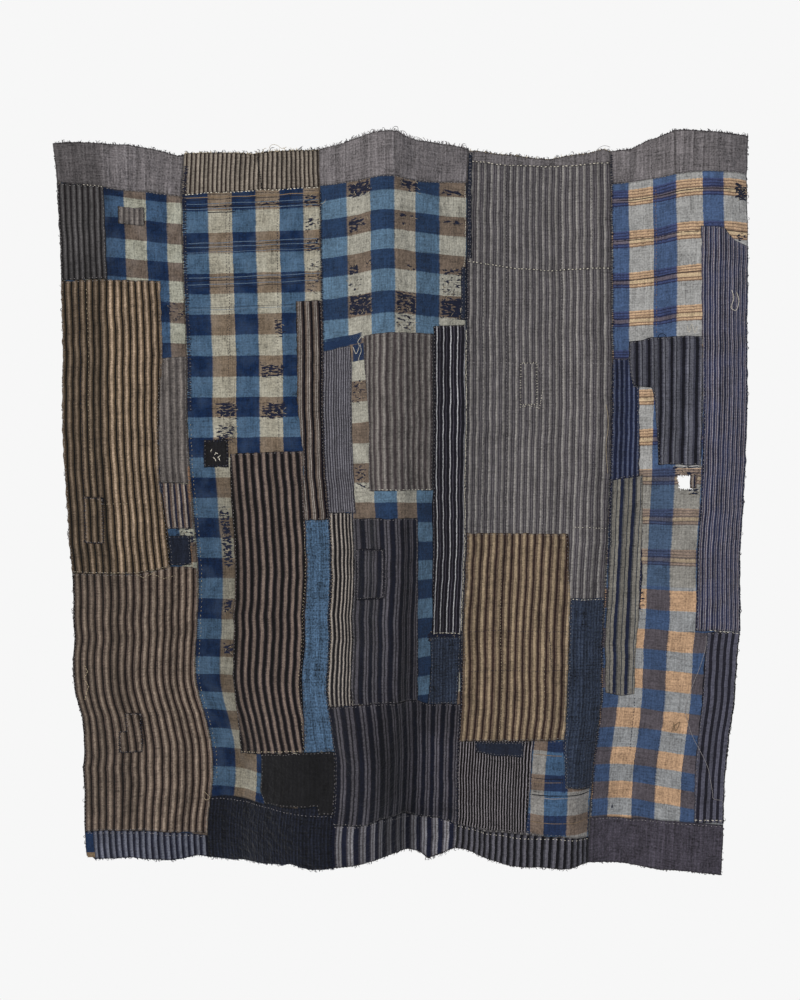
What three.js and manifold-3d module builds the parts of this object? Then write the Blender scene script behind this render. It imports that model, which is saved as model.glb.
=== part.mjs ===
// Boro patched cloth: five loom widths of old cotton joined edge to edge, with a strip sewn on at the
// head and at the foot of each and patches laid over the worn places. It hangs by its top edge.
// Millimetres, +Z up. The front faces -Y. The origin is on the top edge, at the crest it hangs from.

import * as THREE from 'three';
import Module from 'manifold-3d';

const wasm = await Module();
wasm.setup();

// Driving dimensions
const CLOTH_WIDTH = 1648;
const CLOTH_HEIGHT = 1660;
const PANEL_WIDTHS = [285, 330, 385, 345, 305];
const GROUND_THICKNESS = 1.2;
const PATCH_THICKNESS = 1.0;
const LAYER_GAP = 0.3;
const SEAM_GAP = 0.32;

// The crest that the cloth hangs from: across the flat cloth, down to its edge, and how far the
// crest line drifts sideways from top to foot
const CREST_ACROSS = 795;
const CREST_DOWN = -7;
const CREST_DRIFT = 16;

// Flat facets that follow the folds, from above the head to below the foot. They are lower in the
// lower part, where the folds run aslant.
const FACET_WIDTH = 33;
const FACET_HEIGHT = 146;
const LOWER_FACET_HEIGHT = 76;
const FACETS_FROM = -21.3;
const LOWER_FACETS_FROM = 1003.7;
const FACETS_TO = 1692.7;

// Step along the cloth in which its width across the folds is summed, and the reach for its slopes
const WALK = 2.5;
const SLOPE_REACH = 4;

const TINY = 1e-7;

// Folds from the left edge to the right. at is the place across the flat cloth; the other columns
// are how far the cloth stands forward there, at the five heights named in HEIGHTS.
const HEIGHTS = { top: 0, upper: 0.35, lower: 0.68, low: 0.84, foot: 1 };
const FOLDS = [
  { at: 0, top: 0, upper: 0, lower: -4, low: -12, foot: -25 },
  { at: 100, top: 0, upper: -2, lower: 4, low: -10, foot: -20 },
  { at: 190, top: -34, upper: -32, lower: -36, low: -30, foot: -20 },
  { at: 280, top: -62, upper: -62, lower: -74, low: -66, foot: -50 },
  { at: 360, top: -60, upper: -60, lower: -66, low: -52, foot: -34 },
  { at: 450, top: -50, upper: -50, lower: -50, low: -2, foot: 24 },
  { at: 540, top: -40, upper: -42, lower: -34, low: 38, foot: 70 },
  { at: 620, top: -25, upper: -32, lower: -26, low: 46, foot: 80 },
  { at: 700, top: 8, upper: 8, lower: 28, low: 86, foot: 52 },
  { at: 790, top: 52, upper: 62, lower: 84, low: 30, foot: -12 },
  { at: 860, top: 30, upper: 34, lower: 38, low: -32, foot: -72 },
  { at: 930, top: 5, upper: 2, lower: -10, low: -68, foot: -100 },
  { at: 1000, top: -8, upper: -20, lower: -44, low: -70, foot: -72 },
  { at: 1100, top: -32, upper: -38, lower: -42, low: -22, foot: 2 },
  { at: 1200, top: -50, upper: -42, lower: -4, low: 36, foot: 62 },
  { at: 1280, top: -30, upper: -20, lower: 12, low: 50, foot: 72 },
  { at: 1360, top: -14, upper: -18, lower: -6, low: 14, foot: 30 },
  { at: 1430, top: 12, upper: 8, lower: 6, low: 14, foot: 20 },
  { at: 1500, top: 56, upper: 52, lower: 46, low: 48, foot: 54 },
  { at: 1580, top: 66, upper: 68, lower: 80, low: 90, foot: 98 },
  { at: 1648, top: 46, upper: 52, lower: 80, low: 100, foot: 118 },
];

// The side edges and the four long seams, which wander as they go down: places across the flat cloth
const SEAMS = [
  { down: 0, across: [-10, 289, 614, 993, 1332, 1652] },
  { down: 90, across: [-2, 282, 614, 988, 1332, 1648] },
  { down: 250, across: [3, 280, 612, 988, 1333, 1650] },
  { down: 480, across: [2, 283, 609, 988, 1334, 1647] },
  { down: 780, across: [-13, 273, 599, 995, 1335, 1642] },
  { down: 920, across: [-20, 273, 596, 1005, 1339, 1638] },
  { down: 1090, across: [-13, 276, 595, 1007, 1342, 1650] },
  { down: 1200, across: [2, 285, 614, 1006, 1343, 1644] },
  { down: 1320, across: [18, 297, 627, 1001, 1345, 1639] },
  { down: 1440, across: [-7, 293, 625, 996, 1347, 1642] },
  { down: 1590, across: [1, 285, 623, 990, 1342, 1644] },
  { down: 1660, across: [1, 284, 626, 983, 1346, 1646] },
];

// Lines that two pieces share, from left to right: [across the panel, down from the top edge]
const HEAD_SEAM_1 = [[0, 90], [90, 99], [130, 104], [200, 100], [255, 101], [285, 103]];
const HEAD_SEAM_2 = [[0, 98], [64, 94], [191, 92], [237, 91], [330, 91]];
const HEAD_SEAM_3 = [[0, 89], [73, 91], [143, 94], [201, 94], [259, 97], [319, 93], [385, 88]];
const HEAD_SEAM_4 = [[0, 38], [93, 42], [156, 38], [220, 36], [280, 39], [345, 38]];
const HEAD_SEAM_5 = [[0, 87], [41, 86], [96, 87], [144, 88], [191, 89], [305, 88]];
const LAP_4 = [[0, 271], [64, 274], [120, 281], [263, 283], [345, 282]];
const FOOT_SEAM_1 = [[0, 1590], [63, 1586], [141, 1587], [203, 1595], [285, 1611]];
const FOOT_SEAM_2 = [[0, 1523], [60, 1517], [149, 1518], [291, 1508], [330, 1523]];
const FOOT_SEAM_3 = [[0, 1546], [48, 1544], [86, 1543], [114, 1538], [178, 1547], [230, 1554], [267, 1567],
  [286, 1573], [300, 1578], [343, 1583], [385, 1594]];
const FOOT_SEAM_4 = [[0, 1594], [29, 1590], [78, 1592], [169, 1576], [246, 1571], [345, 1583]];
const FOOT_SEAM_5 = [[0, 1541], [97, 1546], [201, 1533], [240, 1530], [305, 1530]];

// The tear that goes right through the fifth panel
const TEAR = { panel: 5, top: [[154, 767], [182, 767]], bottom: [[162, 796], [188, 796]] };

// Pieces as cut and sewn. top and bottom run from left to right, left and right hold the points
// between them from the top down, where a side isn't straight. on is 0 for the ground cloth, 1 for a
// patch on it and 2 for a patch on a patch.
const PIECES = [
  { name: 'heading_1', panel: 1, on: 0, colour: 0x5f5a5b,
    top: [[0, 0], [63, -1], [112, 2], [163, -4], [213, -3], [243, 0], [272, 7], [285, 4]],
    bottom: HEAD_SEAM_1 },
  { name: 'heading_2_left', panel: 2, on: 0, colour: 0x655e5a,
    top: [[0, 1], [87, -1], [164, 6], [179, 5]], bottom: HEAD_SEAM_2.slice(0, 3) },
  { name: 'heading_2_right', panel: 2, on: 0, colour: 0x655e5a,
    top: [[179, 5], [240, 2], [320, 5], [330, 6]], bottom: HEAD_SEAM_2.slice(2) },
  { name: 'heading_3', panel: 3, on: 0, colour: 0x6b6668,
    top: [[0, 6], [23, 2], [72, -2], [129, -8], [176, -7], [208, -8], [223, -2], [257, 4], [302, 4],
      [340, 5], [385, 11]],
    bottom: HEAD_SEAM_3 },
  { name: 'heading_4', panel: 4, on: 0, colour: 0x6a666a,
    top: [[0, 15], [85, 17], [155, 18], [198, 20], [237, 13], [294, 12], [329, 5], [345, 11]],
    bottom: HEAD_SEAM_4 },
  { name: 'heading_5_left', panel: 5, on: 0, colour: 0x6c676b,
    top: [[0, 11], [43, 10], [84, -5], [141, -11]], bottom: HEAD_SEAM_5.slice(0, 4) },
  { name: 'heading_5_right', panel: 5, on: 0, colour: 0x6c676b,
    top: [[141, -11], [189, -4], [224, 1], [305, 2]], bottom: HEAD_SEAM_5.slice(3) },
  { name: 'panel_1', panel: 1, on: 0, colour: 0x5b6670, top: HEAD_SEAM_1, bottom: FOOT_SEAM_1 },
  { name: 'panel_2', panel: 2, on: 0, colour: 0x6a6a66, top: HEAD_SEAM_2, bottom: FOOT_SEAM_2 },
  { name: 'panel_3', panel: 3, on: 0, colour: 0x6a6a66, top: HEAD_SEAM_3, bottom: FOOT_SEAM_3 },
  { name: 'panel_4_upper', panel: 4, on: 0, colour: 0x5b585c, top: HEAD_SEAM_4, bottom: LAP_4 },
  { name: 'panel_4', panel: 4, on: 0, colour: 0x5b585a, top: LAP_4, bottom: FOOT_SEAM_4 },
  { name: 'panel_5', panel: 5, on: 0, colour: 0x66707e, top: HEAD_SEAM_5, bottom: FOOT_SEAM_5, tear: TEAR },
  { name: 'foot_1', panel: 1, on: 0, colour: 0x3b3e4b, top: FOOT_SEAM_1,
    bottom: [[0, 1645], [20, 1656], [105, 1650], [196, 1657], [258, 1655], [285, 1661]] },
  { name: 'foot_2', panel: 2, on: 0, colour: 0x22232d, top: FOOT_SEAM_2,
    bottom: [[0, 1661], [56, 1663], [169, 1645], [237, 1633], [279, 1641], [330, 1637]] },
  { name: 'foot_3_left', panel: 3, on: 0, colour: 0x45474f, top: FOOT_SEAM_3.slice(0, 8),
    bottom: [[0, 1637], [51, 1636], [125, 1633], [175, 1636], [255, 1651], [287, 1663]] },
  { name: 'foot_3_right', panel: 3, on: 0, colour: 0x4b4d57, top: FOOT_SEAM_3.slice(7),
    bottom: [[287, 1663], [312, 1684], [350, 1670], [385, 1651]] },
  { name: 'foot_4', panel: 4, on: 0, colour: 0x434248, top: FOOT_SEAM_4,
    bottom: [[0, 1651], [29, 1648], [89, 1650], [159, 1649], [219, 1639], [267, 1641], [321, 1638],
      [345, 1640]] },
  { name: 'foot_5', panel: 5, on: 0, colour: 0x413e47, top: FOOT_SEAM_5,
    bottom: [[0, 1640], [46, 1645], [105, 1648], [177, 1646], [238, 1635], [305, 1636]] },

  { name: 'charcoal_patch_1', panel: 1, on: 1, colour: 0x444243,
    top: [[0, 92], [107, 101]], bottom: [[0, 316], [107, 313]] },
  { name: 'small_grey_patch_1', panel: 1, on: 1, colour: 0x5f5c5c,
    top: [[137, 143], [197, 138]], bottom: [[137, 183], [197, 180]] },
  { name: 'brown_upper_1', panel: 1, on: 1, colour: 0x594c41,
    top: [[0, 318], [229, 308]],
    right: [[228, 485], [222, 565], [217, 680], [214, 781], [222, 889]],
    bottom: [[0, 990], [153, 991], [222, 978]] },
  { name: 'brown_lower_1', panel: 1, on: 1, colour: 0x554b43,
    top: [[0, 990], [153, 991], [222, 978], [272, 979], [285, 985]],
    bottom: [[0, 1590], [61, 1587], [140, 1586], [203, 1594], [285, 1606]] },
  { name: 'grey_strip_1', panel: 1, on: 1, colour: 0x595452,
    top: [[228, 487], [285, 482]], left: [[222, 565], [217, 680]], bottom: [[215, 781], [285, 781]] },
  { name: 'navy_brown_1', panel: 1, on: 1, colour: 0x3d3a3f,
    top: [[215, 781], [285, 781]], bottom: [[222, 889], [283, 888]] },
  { name: 'navy_patch_1', panel: 1, on: 1, colour: 0x23283a,
    top: [[222, 905], [272, 906]], bottom: [[222, 976], [272, 975]] },
  { name: 'upper_darn_1', panel: 1, on: 2, colour: 0x5a4d43,
    top: [[43, 814], [86, 816]], bottom: [[37, 921], [80, 921]] },
  { name: 'lower_darn_1', panel: 1, on: 2, colour: 0x574c44,
    top: [[104, 1313], [139, 1315]], left: [[100, 1354], [84, 1355]],
    bottom: [[80, 1403], [130, 1405]] },

  { name: 'narrow_stripes_2', panel: 2, on: 1, colour: 0x4f4a49,
    top: [[267, 354], [330, 356]], left: [[268, 586], [279, 706]], bottom: [[273, 868], [330, 868]] },
  { name: 'brown_black_2', panel: 2, on: 1, colour: 0x423a39,
    top: [[101, 712], [279, 706]], right: [[273, 868], [272, 1279]],
    left: [[96, 821], [92, 1082], [98, 1268]], bottom: [[75, 1416], [144, 1406], [261, 1391]] },
  { name: 'small_black_2', panel: 2, on: 1, colour: 0x26252a,
    top: [[39, 679], [98, 677]], bottom: [[36, 743], [96, 743]] },
  { name: 'blue_patch_2', panel: 2, on: 1, colour: 0x3f556c,
    top: [[273, 868], [330, 868]], left: [[272, 1279]], bottom: [[261, 1391], [330, 1388]] },
  { name: 'black_patch_2', panel: 2, on: 1, colour: 0x232325,
    top: [[144, 1406], [261, 1391], [330, 1388]], left: [[142, 1488]],
    bottom: [[156, 1517], [291, 1507], [298, 1524], [330, 1523]] },

  { name: 'grey_patch_3', panel: 3, on: 1, colour: 0x565459,
    top: [[0, 474], [74, 465]], right: [[79, 501], [79, 660]], bottom: [[0, 851], [74, 851]] },
  { name: 'white_black_3', panel: 3, on: 1, colour: 0x514c4c,
    top: [[0, 851], [61, 851]], right: [[64, 1075]], bottom: [[0, 1292], [84, 1280]] },
  { name: 'grey_brown_3', panel: 3, on: 1, colour: 0x565150,
    top: [[117, 448], [300, 442]], left: [[122, 548], [135, 663]], bottom: [[127, 801], [299, 800]] },
  { name: 'navy_white_3', panel: 3, on: 1, colour: 0x3c3b43,
    top: [[301, 424], [383, 416]], left: [[300, 661], [300, 913]], bottom: [[309, 1130], [385, 1136]] },
  { name: 'navy_wedge_3', panel: 3, on: 1, colour: 0x272c3e,
    top: [[371, 283], [384, 283]], bottom: [[370, 404], [384, 405]] },
  { name: 'navy_grey_3', panel: 3, on: 1, colour: 0x33323a,
    top: [[62, 863], [258, 862]], right: [[262, 1070]], left: [[65, 1075]],
    bottom: [[84, 1280], [156, 1274], [269, 1284]] },
  { name: 'denim_patch_3', panel: 3, on: 1, colour: 0x2c323d,
    top: [[303, 1137], [385, 1143]], right: [[381, 1222]], left: [[305, 1216]],
    bottom: [[299, 1298], [376, 1304]] },
  { name: 'lower_stripes_3', panel: 3, on: 1, colour: 0x303139,
    top: [[0, 1292], [84, 1280], [156, 1274], [269, 1284], [299, 1298], [376, 1304], [385, 1304]],
    bottom: FOOT_SEAM_3 },
  { name: 'darn_3', panel: 3, on: 2, colour: 0x33323a,
    top: [[71, 934], [173, 930]], right: [[172, 1037]], left: [[74, 1046]],
    bottom: [[76, 1051], [152, 1040]] },

  { name: 'seam_strip_4', panel: 4, on: 1, colour: 0x272c3e,
    top: [[1, 20], [9, 20]], bottom: [[1, 262], [11, 262]] },
  { name: 'small_patch_4', panel: 4, on: 1, colour: 0x58555a,
    top: [[130, 500], [170, 499]], bottom: [[130, 598], [170, 598]] },
  { name: 'gold_patch_4', panel: 4, on: 1, colour: 0x5d4f44,
    top: [[3, 899], [249, 900]], right: [[260, 1046], [262, 1141], [256, 1252]],
    left: [[5, 1008], [6, 1150], [0, 1270]], bottom: [[0, 1395], [104, 1380], [190, 1367], [257, 1360]] },
  { name: 'denim_patch_4', panel: 4, on: 1, colour: 0x2e3544,
    top: [[260, 1046], [345, 1047]], right: [[345, 1413]],
    left: [[262, 1141], [256, 1252], [257, 1360]], bottom: [[270, 1465], [342, 1475]] },
  { name: 'pinstripe_4', panel: 4, on: 1, colour: 0x403d40,
    top: [[0, 1395], [104, 1380], [190, 1367]], right: [[192, 1475]],
    bottom: [[2, 1593], [65, 1590], [121, 1581], [188, 1569]] },
  { name: 'check_patch_4', panel: 4, on: 1, colour: 0x5a6068,
    top: [[190, 1367], [257, 1360], [270, 1465], [342, 1475]], left: [[192, 1475]],
    bottom: [[188, 1569], [273, 1572], [338, 1580]] },
  { name: 'small_navy_4', panel: 4, on: 2, colour: 0x24283a,
    top: [[41, 1392], [169, 1373]], bottom: [[47, 1415], [95, 1416], [171, 1406]] },

  { name: 'right_stripes_5', panel: 5, on: 1, colour: 0x50505e,
    top: [[196, 210], [243, 213], [251, 223], [261, 232], [274, 242], [305, 252]],
    left: [[198, 375], [203, 598], [208, 821], [209, 1043]], bottom: [[208, 1111], [305, 1111]] },
  { name: 'charcoal_patch_5', panel: 5, on: 1, colour: 0x3e3f4a,
    top: [[39, 455], [86, 449], [158, 453], [199, 455]], right: [[203, 598]],
    left: [[38, 475], [37, 494], [47, 557], [89, 562], [96, 592]], bottom: [[109, 741], [203, 743]] },
  { name: 'navy_stripes_5', panel: 5, on: 1, colour: 0x2f3445,
    top: [[0, 493], [37, 494], [47, 557], [59, 560]], bottom: [[0, 776], [66, 766]] },
  { name: 'green_navy_5', panel: 5, on: 1, colour: 0x505156,
    top: [[0, 776], [66, 766], [74, 763]], right: [[75, 796], [84, 1007], [78, 1143]],
    left: [[6, 1008], [7, 1166]], bottom: [[10, 1264], [51, 1271], [78, 1266]] },
  { name: 'brown_scrap_5', panel: 5, on: 1, colour: 0x4a3f3a,
    top: [[182, 765], [197, 765]], bottom: [[183, 794], [198, 794]] },
  { name: 'lower_stripes_5', panel: 5, on: 1, colour: 0x4c4b55,
    top: [[234, 1113], [305, 1112]], left: [[233, 1219], [237, 1353]], bottom: [[243, 1530], [305, 1526]] },
];

// A smooth curve through (xs, ys), whose slope at each point is that between its two neighbours
function curve(xs, ys, x) {
  const last = xs.length - 1;
  let i = 0;
  while (i < last - 1 && x > xs[i + 1]) i += 1;
  const slope = (k) => {
    const before = Math.max(k - 1, 0);
    const after = Math.min(k + 1, last);
    return (ys[after] - ys[before]) / (xs[after] - xs[before]);
  };
  const span = xs[i + 1] - xs[i];
  const t = (x - xs[i]) / span;
  const ends = (1 + 2 * t) * (1 - t) ** 2 * ys[i] + t * t * (3 - 2 * t) * ys[i + 1];
  const slopes = t * (1 - t) ** 2 * slope(i) + t * t * (t - 1) * slope(i + 1);
  return ends + span * slopes;
}

function straight(xs, ys, x) {
  const clamped = THREE.MathUtils.clamp(x, xs[0], xs.at(-1));
  let i = 0;
  while (i < xs.length - 2 && clamped > xs[i + 1]) i += 1;
  return THREE.MathUtils.mapLinear(clamped, xs[i], xs[i + 1], ys[i], ys[i + 1]);
}

// One crosswise row of the hanging cloth: how far forward it stands at each place across. The cloth
// keeps its own length, so it hangs narrower where its folds are deep.
class Row {
  constructor(down) {
    const share = down / CLOTH_HEIGHT;
    const levels = Object.values(HEIGHTS);
    const at = FOLDS.map((fold) => fold.at);
    const forward = FOLDS.map((fold) => curve(levels, Object.keys(HEIGHTS).map((h) => fold[h]), share));
    this.z = CREST_DOWN - down;
    this.forward = (across) => curve(at, forward, THREE.MathUtils.clamp(across, 0, CLOTH_WIDTH));
    this.from = -WALK * 12;
    this.x = [0];
    const steps = Math.ceil((CLOTH_WIDTH - 2 * this.from) / WALK);
    for (let i = 0; i < steps; i += 1) {
      const across = this.from + i * WALK;
      const rise = this.forward(across + WALK) - this.forward(across);
      this.x.push(this.x[i] + Math.sqrt(WALK ** 2 - rise ** 2));
    }
    this.shift = CREST_DRIFT * share - this.sideways(CREST_ACROSS);
  }

  sideways(across) {
    const place = (across - this.from) / WALK;
    const i = Math.floor(place);
    return THREE.MathUtils.lerp(this.x[i], this.x[i + 1], place - i);
  }

  point(across) {
    return new THREE.Vector3(this.sideways(across) + this.shift, -this.forward(across), this.z);
  }
}

const crest = new Row(0).forward(CREST_ACROSS);

// The back face of the ground cloth and the direction to the viewer, at one place on the flat cloth
function onCloth(panel, across, down) {
  const downs = SEAMS.map((row) => row.down);
  const leftSeam = straight(downs, SEAMS.map((row) => row.across[panel - 1]), down);
  const rightSeam = straight(downs, SEAMS.map((row) => row.across[panel]), down);
  const flat = THREE.MathUtils.lerp(leftSeam, rightSeam, across / PANEL_WIDTHS[panel - 1]);
  const place = rowAt(down).point(flat);
  const sideways = rowAt(down).point(flat + SLOPE_REACH).sub(rowAt(down).point(flat - SLOPE_REACH));
  const downwards = rowAt(down + SLOPE_REACH).point(flat).sub(rowAt(down - SLOPE_REACH).point(flat));
  place.y += crest + GROUND_THICKNESS / 2;
  return { place, out: downwards.cross(sideways).normalize() };
}

const rows = new Map();
function rowAt(down) {
  if (!rows.has(down)) rows.set(down, new Row(down));
  return rows.get(down);
}

// The facet corners of each panel: even steps between its seams and from the head to the foot
function stops(from, to, size) {
  const count = Math.round((to - from) / size);
  return Array.from({ length: count + 1 }, (_, i) => THREE.MathUtils.lerp(from, to, i / count));
}

const facetRows = [
  ...stops(FACETS_FROM, LOWER_FACETS_FROM, FACET_HEIGHT).slice(0, -1),
  ...stops(LOWER_FACETS_FROM, FACETS_TO, LOWER_FACET_HEIGHT),
];
const facets = PANEL_WIDTHS.map((width, i) => {
  const columns = stops(0, width, FACET_WIDTH);
  const corners = facetRows.map((down) => columns.map((across) => onCloth(i + 1, across, down)));
  return { columns, corners };
});

// A place on one facet's two flat triangles, at a height above the back face of the ground cloth
function onFacet(panel, column, row, [across, down], height) {
  const { columns, corners } = facets[panel - 1];
  const f = (across - columns[column]) / (columns[column + 1] - columns[column]);
  const g = (down - facetRows[row]) / (facetRows[row + 1] - facetRows[row]);
  const upper = f + g < 1;
  const shares = [
    [corners[row][column + 1], upper ? f : 1 - g],
    [corners[row + 1][column], upper ? g : 1 - f],
    [upper ? corners[row][column] : corners[row + 1][column + 1], Math.abs(1 - f - g)],
  ];
  const point = new THREE.Vector3();
  shares.forEach(([corner, share]) => {
    point.addScaledVector(corner.place, share);
    point.addScaledVector(corner.out, share * height);
  });
  return point;
}

// Cut closed outlines along the line where side is zero. Each outline becomes chains of points on one
// side of it, joined across the line between neighbouring crossings. Returns [positive, negative].
function cut(outlines, side, along) {
  const halves = [[], []];
  outlines.forEach((outline) => {
    const kept = outline.map((point) => side(point) > -TINY);
    if (kept.every((k) => k === kept[0])) {
      halves[kept[0] ? 0 : 1].push(outline);
      return;
    }
    const count = outline.length;
    const first = kept.findIndex((k, i) => k !== kept[(i + count - 1) % count]);
    const chains = [];
    const crossings = [];
    for (let step = 0; step < count; step += 1) {
      const i = (first + step) % count;
      const before = (i + count - 1) % count;
      if (kept[i] !== kept[before]) {
        const share = side(outline[before]) / (side(outline[before]) - side(outline[i]));
        const crossing = outline[before].map((value, k) => THREE.MathUtils.lerp(value, outline[i][k], share));
        crossings.push(crossing);
        chains.push({ kept: kept[i], points: [] });
      }
      chains.at(-1).points.push(outline[i]);
    }
    const order = crossings.map((_, i) => i);
    order.sort((a, b) => along(crossings[a]) - along(crossings[b]));
    const partner = [];
    order.forEach((crossing, i) => { partner[crossing] = order[i % 2 ? i - 1 : i + 1]; });
    const open = new Set(chains.keys());
    while (open.size) {
      const start = open.values().next().value;
      const ring = [];
      let chain = start;
      do {
        open.delete(chain);
        const end = (chain + 1) % chains.length;
        ring.push(crossings[chain], ...chains[chain].points, crossings[end]);
        chain = partner[end];
      } while (chain !== start);
      const clean = ring.filter((point, i) => distance(point, ring[(i + 1) % ring.length]) > TINY * 10);
      if (clean.length > 2) halves[chains[start].kept ? 0 : 1].push(clean);
    }
  });
  return halves;
}

function distance(a, b) {
  return Math.hypot(a[0] - b[0], a[1] - b[1]);
}

// Move every edge of an outline inwards by half the gap between neighbours
function drawIn(outline, gap) {
  const turn = Math.sign(THREE.ShapeUtils.area(outline.map(([x, y]) => new THREE.Vector2(x, y))));
  const count = outline.length;
  return outline.map((point, i) => {
    const before = outline[(i + count - 1) % count];
    const after = outline[(i + 1) % count];
    const inwards = [[before, point], [point, after]].map(([a, b]) => {
      const length = distance(a, b);
      return [-turn * (b[1] - a[1]) / length, turn * (b[0] - a[0]) / length];
    });
    const [m, n] = inwards;
    const reach = gap / 2 / (1 + m[0] * n[0] + m[1] * n[1]);
    return [point[0] + (m[0] + n[0]) * reach, point[1] + (m[1] + n[1]) * reach];
  });
}

// A closed thin sheet over the facets inside an outline, between two heights above the ground's back
function sheet(panel, outline, low, high) {
  const { columns } = facets[panel - 1];
  const positions = [];
  const indices = [];
  const known = new Map();
  const edges = new Map();
  const pointAt = (column, row, point) => {
    const key = point.map((value) => value.toFixed(4)).join();
    if (!known.has(key)) {
      known.set(key, known.size);
      positions.push(...onFacet(panel, column, row, point, high), ...onFacet(panel, column, row, point, low));
    }
    return known.get(key);
  };
  const addRing = (column, row, ring) => {
    const shape = ring.map(([x, y]) => new THREE.Vector2(x, y));
    THREE.ShapeUtils.triangulateShape(shape, []).forEach((triangle) => {
      const corners = triangle.map((k) => pointAt(column, row, ring[k]));
      if (THREE.ShapeUtils.area(triangle.map((k) => shape[k])) > 0) corners.reverse();
      if (new Set(corners).size < 3) return;
      corners.forEach((from, k) => {
        const to = corners[(k + 1) % 3];
        if (!edges.delete(`${to} ${from}`)) edges.set(`${from} ${to}`, [from, to]);
      });
      indices.push(...corners.map((k) => 2 * k), ...corners.map((k) => 2 * k + 1).reverse());
    });
  };
  let right = [outline];
  for (let column = 0; column < columns.length - 1; column += 1) {
    let strip = right;
    if (column < columns.length - 2) {
      [right, strip] = cut(right, (p) => p[0] - columns[column + 1], (p) => p[1]);
    }
    for (let row = 0; row < facetRows.length - 1; row += 1) {
      let cell;
      [strip, cell] = cut(strip, (p) => p[1] - facetRows[row + 1], (p) => p[0]);
      const slope = (facetRows[row + 1] - facetRows[row]) / (columns[column + 1] - columns[column]);
      const belowDiagonal = (p) => p[1] - facetRows[row + 1] + slope * (p[0] - columns[column]);
      cut(cell, belowDiagonal, (p) => p[0]).flat().forEach((ring) => addRing(column, row, ring));
    }
  }
  edges.forEach(([from, to]) => {
    indices.push(2 * from, 2 * to + 1, 2 * to, 2 * from, 2 * from + 1, 2 * to + 1);
  });
  const geometry = new THREE.BufferGeometry();
  geometry.setAttribute('position', new THREE.Float32BufferAttribute(positions, 3));
  geometry.setIndex(indices);
  return geometry;
}

function outlineOf({ top, right = [], bottom, left = [] }) {
  return [...top, ...right, ...bottom.toReversed(), ...left.toReversed()];
}

function toSolid(geometry) {
  const vertProperties = geometry.attributes.position.array;
  const triVerts = new Uint32Array(geometry.index.array);
  return new wasm.Manifold(new wasm.Mesh({ numProp: 3, vertProperties, triVerts }));
}

function fromSolid(solid) {
  const { vertProperties, triVerts } = solid.getMesh();
  const geometry = new THREE.BufferGeometry();
  geometry.setAttribute('position', new THREE.BufferAttribute(vertProperties, 3));
  geometry.setIndex(new THREE.BufferAttribute(triVerts, 1));
  return geometry;
}

function buildPiece(piece) {
  const step = PATCH_THICKNESS + LAYER_GAP;
  const low = piece.on ? GROUND_THICKNESS + LAYER_GAP + (piece.on - 1) * step : 0;
  const high = low + (piece.on ? PATCH_THICKNESS : GROUND_THICKNESS);
  const geometry = sheet(piece.panel, drawIn(outlineOf(piece), SEAM_GAP), low, high);
  if (!piece.tear) return geometry;
  const through = sheet(piece.panel, outlineOf(piece.tear), low - GROUND_THICKNESS, high + GROUND_THICKNESS);
  return fromSolid(toSolid(geometry).subtract(toSolid(through)));
}

const cloth = new THREE.Group();
PIECES.forEach((piece) => {
  const material = new THREE.MeshStandardMaterial({ color: piece.colour, roughness: 0.95, metalness: 0 });
  const mesh = new THREE.Mesh(buildPiece(piece), material);
  mesh.name = piece.name;
  cloth.add(mesh);
});

export default cloth;
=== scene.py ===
# Boro patched cloth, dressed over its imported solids. Metres, Z up, front towards -Y.
# Flat sizes are in millimetres until hang() turns them into places in metres.

import math
import bpy
import numpy as np
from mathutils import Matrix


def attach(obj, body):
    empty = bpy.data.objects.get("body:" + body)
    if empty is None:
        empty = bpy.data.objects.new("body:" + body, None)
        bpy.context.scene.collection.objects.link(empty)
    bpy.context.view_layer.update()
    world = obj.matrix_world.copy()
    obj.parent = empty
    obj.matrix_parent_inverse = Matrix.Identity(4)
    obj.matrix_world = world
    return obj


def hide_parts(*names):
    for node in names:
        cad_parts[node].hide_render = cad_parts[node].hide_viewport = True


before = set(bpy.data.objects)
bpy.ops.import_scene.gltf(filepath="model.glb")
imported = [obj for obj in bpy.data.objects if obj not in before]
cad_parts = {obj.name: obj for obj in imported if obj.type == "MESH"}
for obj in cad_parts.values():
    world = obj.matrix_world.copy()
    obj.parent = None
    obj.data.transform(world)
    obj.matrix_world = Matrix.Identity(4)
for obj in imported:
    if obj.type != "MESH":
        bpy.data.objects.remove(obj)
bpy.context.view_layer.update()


# The hang of the cloth
# Five narrow hand-loom widths of old cotton sewn into one coverlet. It is held up by its top edge and
# drops in soft folds that swing sideways near the foot. Its flat length across stays what it was cut to.
CLOTH_WIDTH = 1648
CLOTH_HEIGHT = 1660
PANEL_WIDTHS = (285, 330, 385, 345, 305)
GROUND_THICKNESS = 1.2
PATCH_THICKNESS = 1.0
LAYER_GAP = 0.3
CREST_ACROSS = 795
CREST_DOWN = -7
CREST_DRIFT = 16
WALK = 2.5
MARGIN = 30
PUCKER_PITCH = 23
PUCKER_RISE = 0.75
PUCKER_REACH = 16
SEAM_DIP = 1.1
SEAM_HALF_WIDTH = 5
CREASE_FADE = 12

# Where the viewer stands, in metres, for how the stripes are seen and for the camera
VIEW_ACROSS = 0.028
VIEW_DISTANCE = 2.05

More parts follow.
